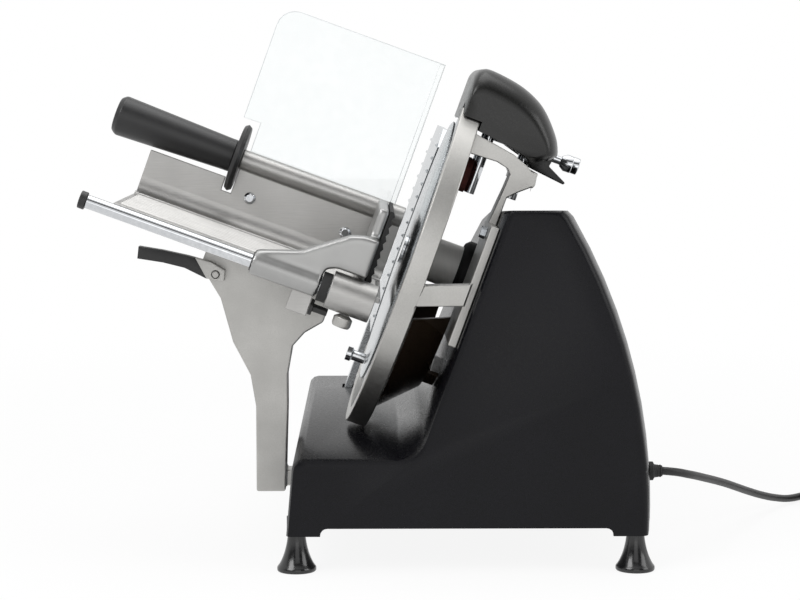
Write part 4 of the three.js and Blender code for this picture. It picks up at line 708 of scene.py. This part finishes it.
FLOOR_HALF = 12.0
FLOOR_Z = -0.0002  # just under the feet and the cord
floor = bpy.data.objects.new("floor", bpy.data.meshes.new("floor"))
floor.data.from_pydata([(x * FLOOR_HALF, y * FLOOR_HALF, FLOOR_Z)
                        for x, y in ((-1, -1), (1, -1), (1, 1), (-1, 1))], [], [(0, 1, 2, 3)])
scene.collection.objects.link(floor)


def straight_sight(tree):
    """1 for what the camera sees directly, in a reflection or through the clear guard."""
    path = node(tree, "ShaderNodeLightPath").outputs
    either = node(tree, "ShaderNodeMath", {0: path["Is Camera Ray"], 1: path["Is Glossy Ray"]},
                  operation="MAXIMUM")
    return node(tree, "ShaderNodeMath", {0: either.outputs["Value"], 1: path["Is Transmission Ray"]},
                operation="MAXIMUM").outputs["Value"]


paper = bpy.data.materials.new("white_paper")
paper.use_nodes = True
paper_tree = paper.node_tree
paper_tree.nodes.clear()
matt = node(paper_tree, "ShaderNodeBsdfDiffuse", {"Color": colour("#f4f4f4")})
glow = node(paper_tree, "ShaderNodeEmission", {"Color": colour("#ffffff"), "Strength": 1.0})
spot = node(paper_tree, "ShaderNodeTexCoord").outputs["Object"]
away = node(paper_tree, "ShaderNodeVectorMath", {0: spot}, operation="LENGTH")
evened = node(paper_tree, "ShaderNodeMapRange", {"Value": away.outputs["Value"], "From Min": 0.4,
                                                 "From Max": 1.3, "To Min": 0.9, "To Max": 1.0},
              interpolation_type="SMOOTHSTEP")
share = node(paper_tree, "ShaderNodeMath", {0: straight_sight(paper_tree), 1: evened.outputs["Result"]},
             operation="MULTIPLY")
paper_mix = node(paper_tree, "ShaderNodeMixShader", {0: share.outputs["Value"], 1: matt.outputs["BSDF"],
                                                     2: glow.outputs["Emission"]})
node(paper_tree, "ShaderNodeOutputMaterial", {"Surface": paper_mix.outputs["Shader"]})
floor.data.materials.append(paper)

world = bpy.data.worlds.new("studio")
scene.world = world
world.use_nodes = True
sky = world.node_tree
sky.nodes.clear()
level_of_light = node(sky, "ShaderNodeMapRange", {"Value": straight_sight(sky), "To Min": 0.5, "To Max": 1.0})
# Before the white sweep the room has a dim band between its softboxes, which only mirrors and gloss show
facing = node(sky, "ShaderNodeSeparateXYZ", {"Vector": node(sky, "ShaderNodeTexCoord").outputs["Generated"]})
before = node(sky, "ShaderNodeMapRange", {"Value": facing.outputs["Y"], "From Min": -0.5, "From Max": 0.1,
                                          "To Min": 1.0, "To Max": 0.0}, interpolation_type="SMOOTHSTEP")
rise = node(sky, "ShaderNodeMapRange", {"Value": facing.outputs["Z"], "From Min": 0.1, "From Max": 0.26},
            interpolation_type="SMOOTHSTEP")
drop = node(sky, "ShaderNodeMapRange", {"Value": facing.outputs["Z"], "From Min": 0.7, "From Max": 0.88,
                                        "To Min": 1.0, "To Max": 0.0}, interpolation_type="SMOOTHSTEP")
band = node(sky, "ShaderNodeMath", {0: rise.outputs["Result"], 1: drop.outputs["Result"]},
            operation="MULTIPLY")
dim = node(sky, "ShaderNodeMath", {0: band.outputs["Value"], 1: before.outputs["Result"]},
           operation="MULTIPLY")
room = node(sky, "ShaderNodeMapRange", {"Value": dim.outputs["Value"], "To Min": 1.0, "To Max": 0.12})
mirrored = node(sky, "ShaderNodeMix", {"Factor": node(sky, "ShaderNodeLightPath").outputs["Is Glossy Ray"],
                                       2: 1.0, 3: room.outputs["Result"]}, data_type="FLOAT")
dimmed = node(sky, "ShaderNodeMath", {0: level_of_light.outputs["Result"], 1: mirrored.outputs[0]},
              operation="MULTIPLY")
sky_light = node(sky, "ShaderNodeBackground", {"Color": colour("#ffffff"),
                                               "Strength": dimmed.outputs["Value"]})
node(sky, "ShaderNodeOutputWorld", {"Surface": sky_light.outputs["Background"]})

LAMPS = {"key": ((-1.3, -1.5, 1.7), 26, 1.2), "top": ((0.2, 0.2, 2.2), 15, 1.6),
         "side": ((1.7, -0.9, 1.0), 9, 1.0), "front": ((0.2, -2.0, 0.75), 4, 1.2)}  # place, watts, size
LAMPS_AIM = Vector((0, 0, 0.2))
for name, (spot, watts, size) in LAMPS.items():
    lamp = bpy.data.objects.new(name, bpy.data.lights.new(name, "AREA"))
    lamp.data.energy = watts
    lamp.data.size = size
    lamp.location = spot
    lamp.rotation_euler = (LAMPS_AIM - Vector(spot)).to_track_quat("-Z", "Y").to_euler()
    scene.collection.objects.link(lamp)
scene.view_settings.view_transform = "Standard"
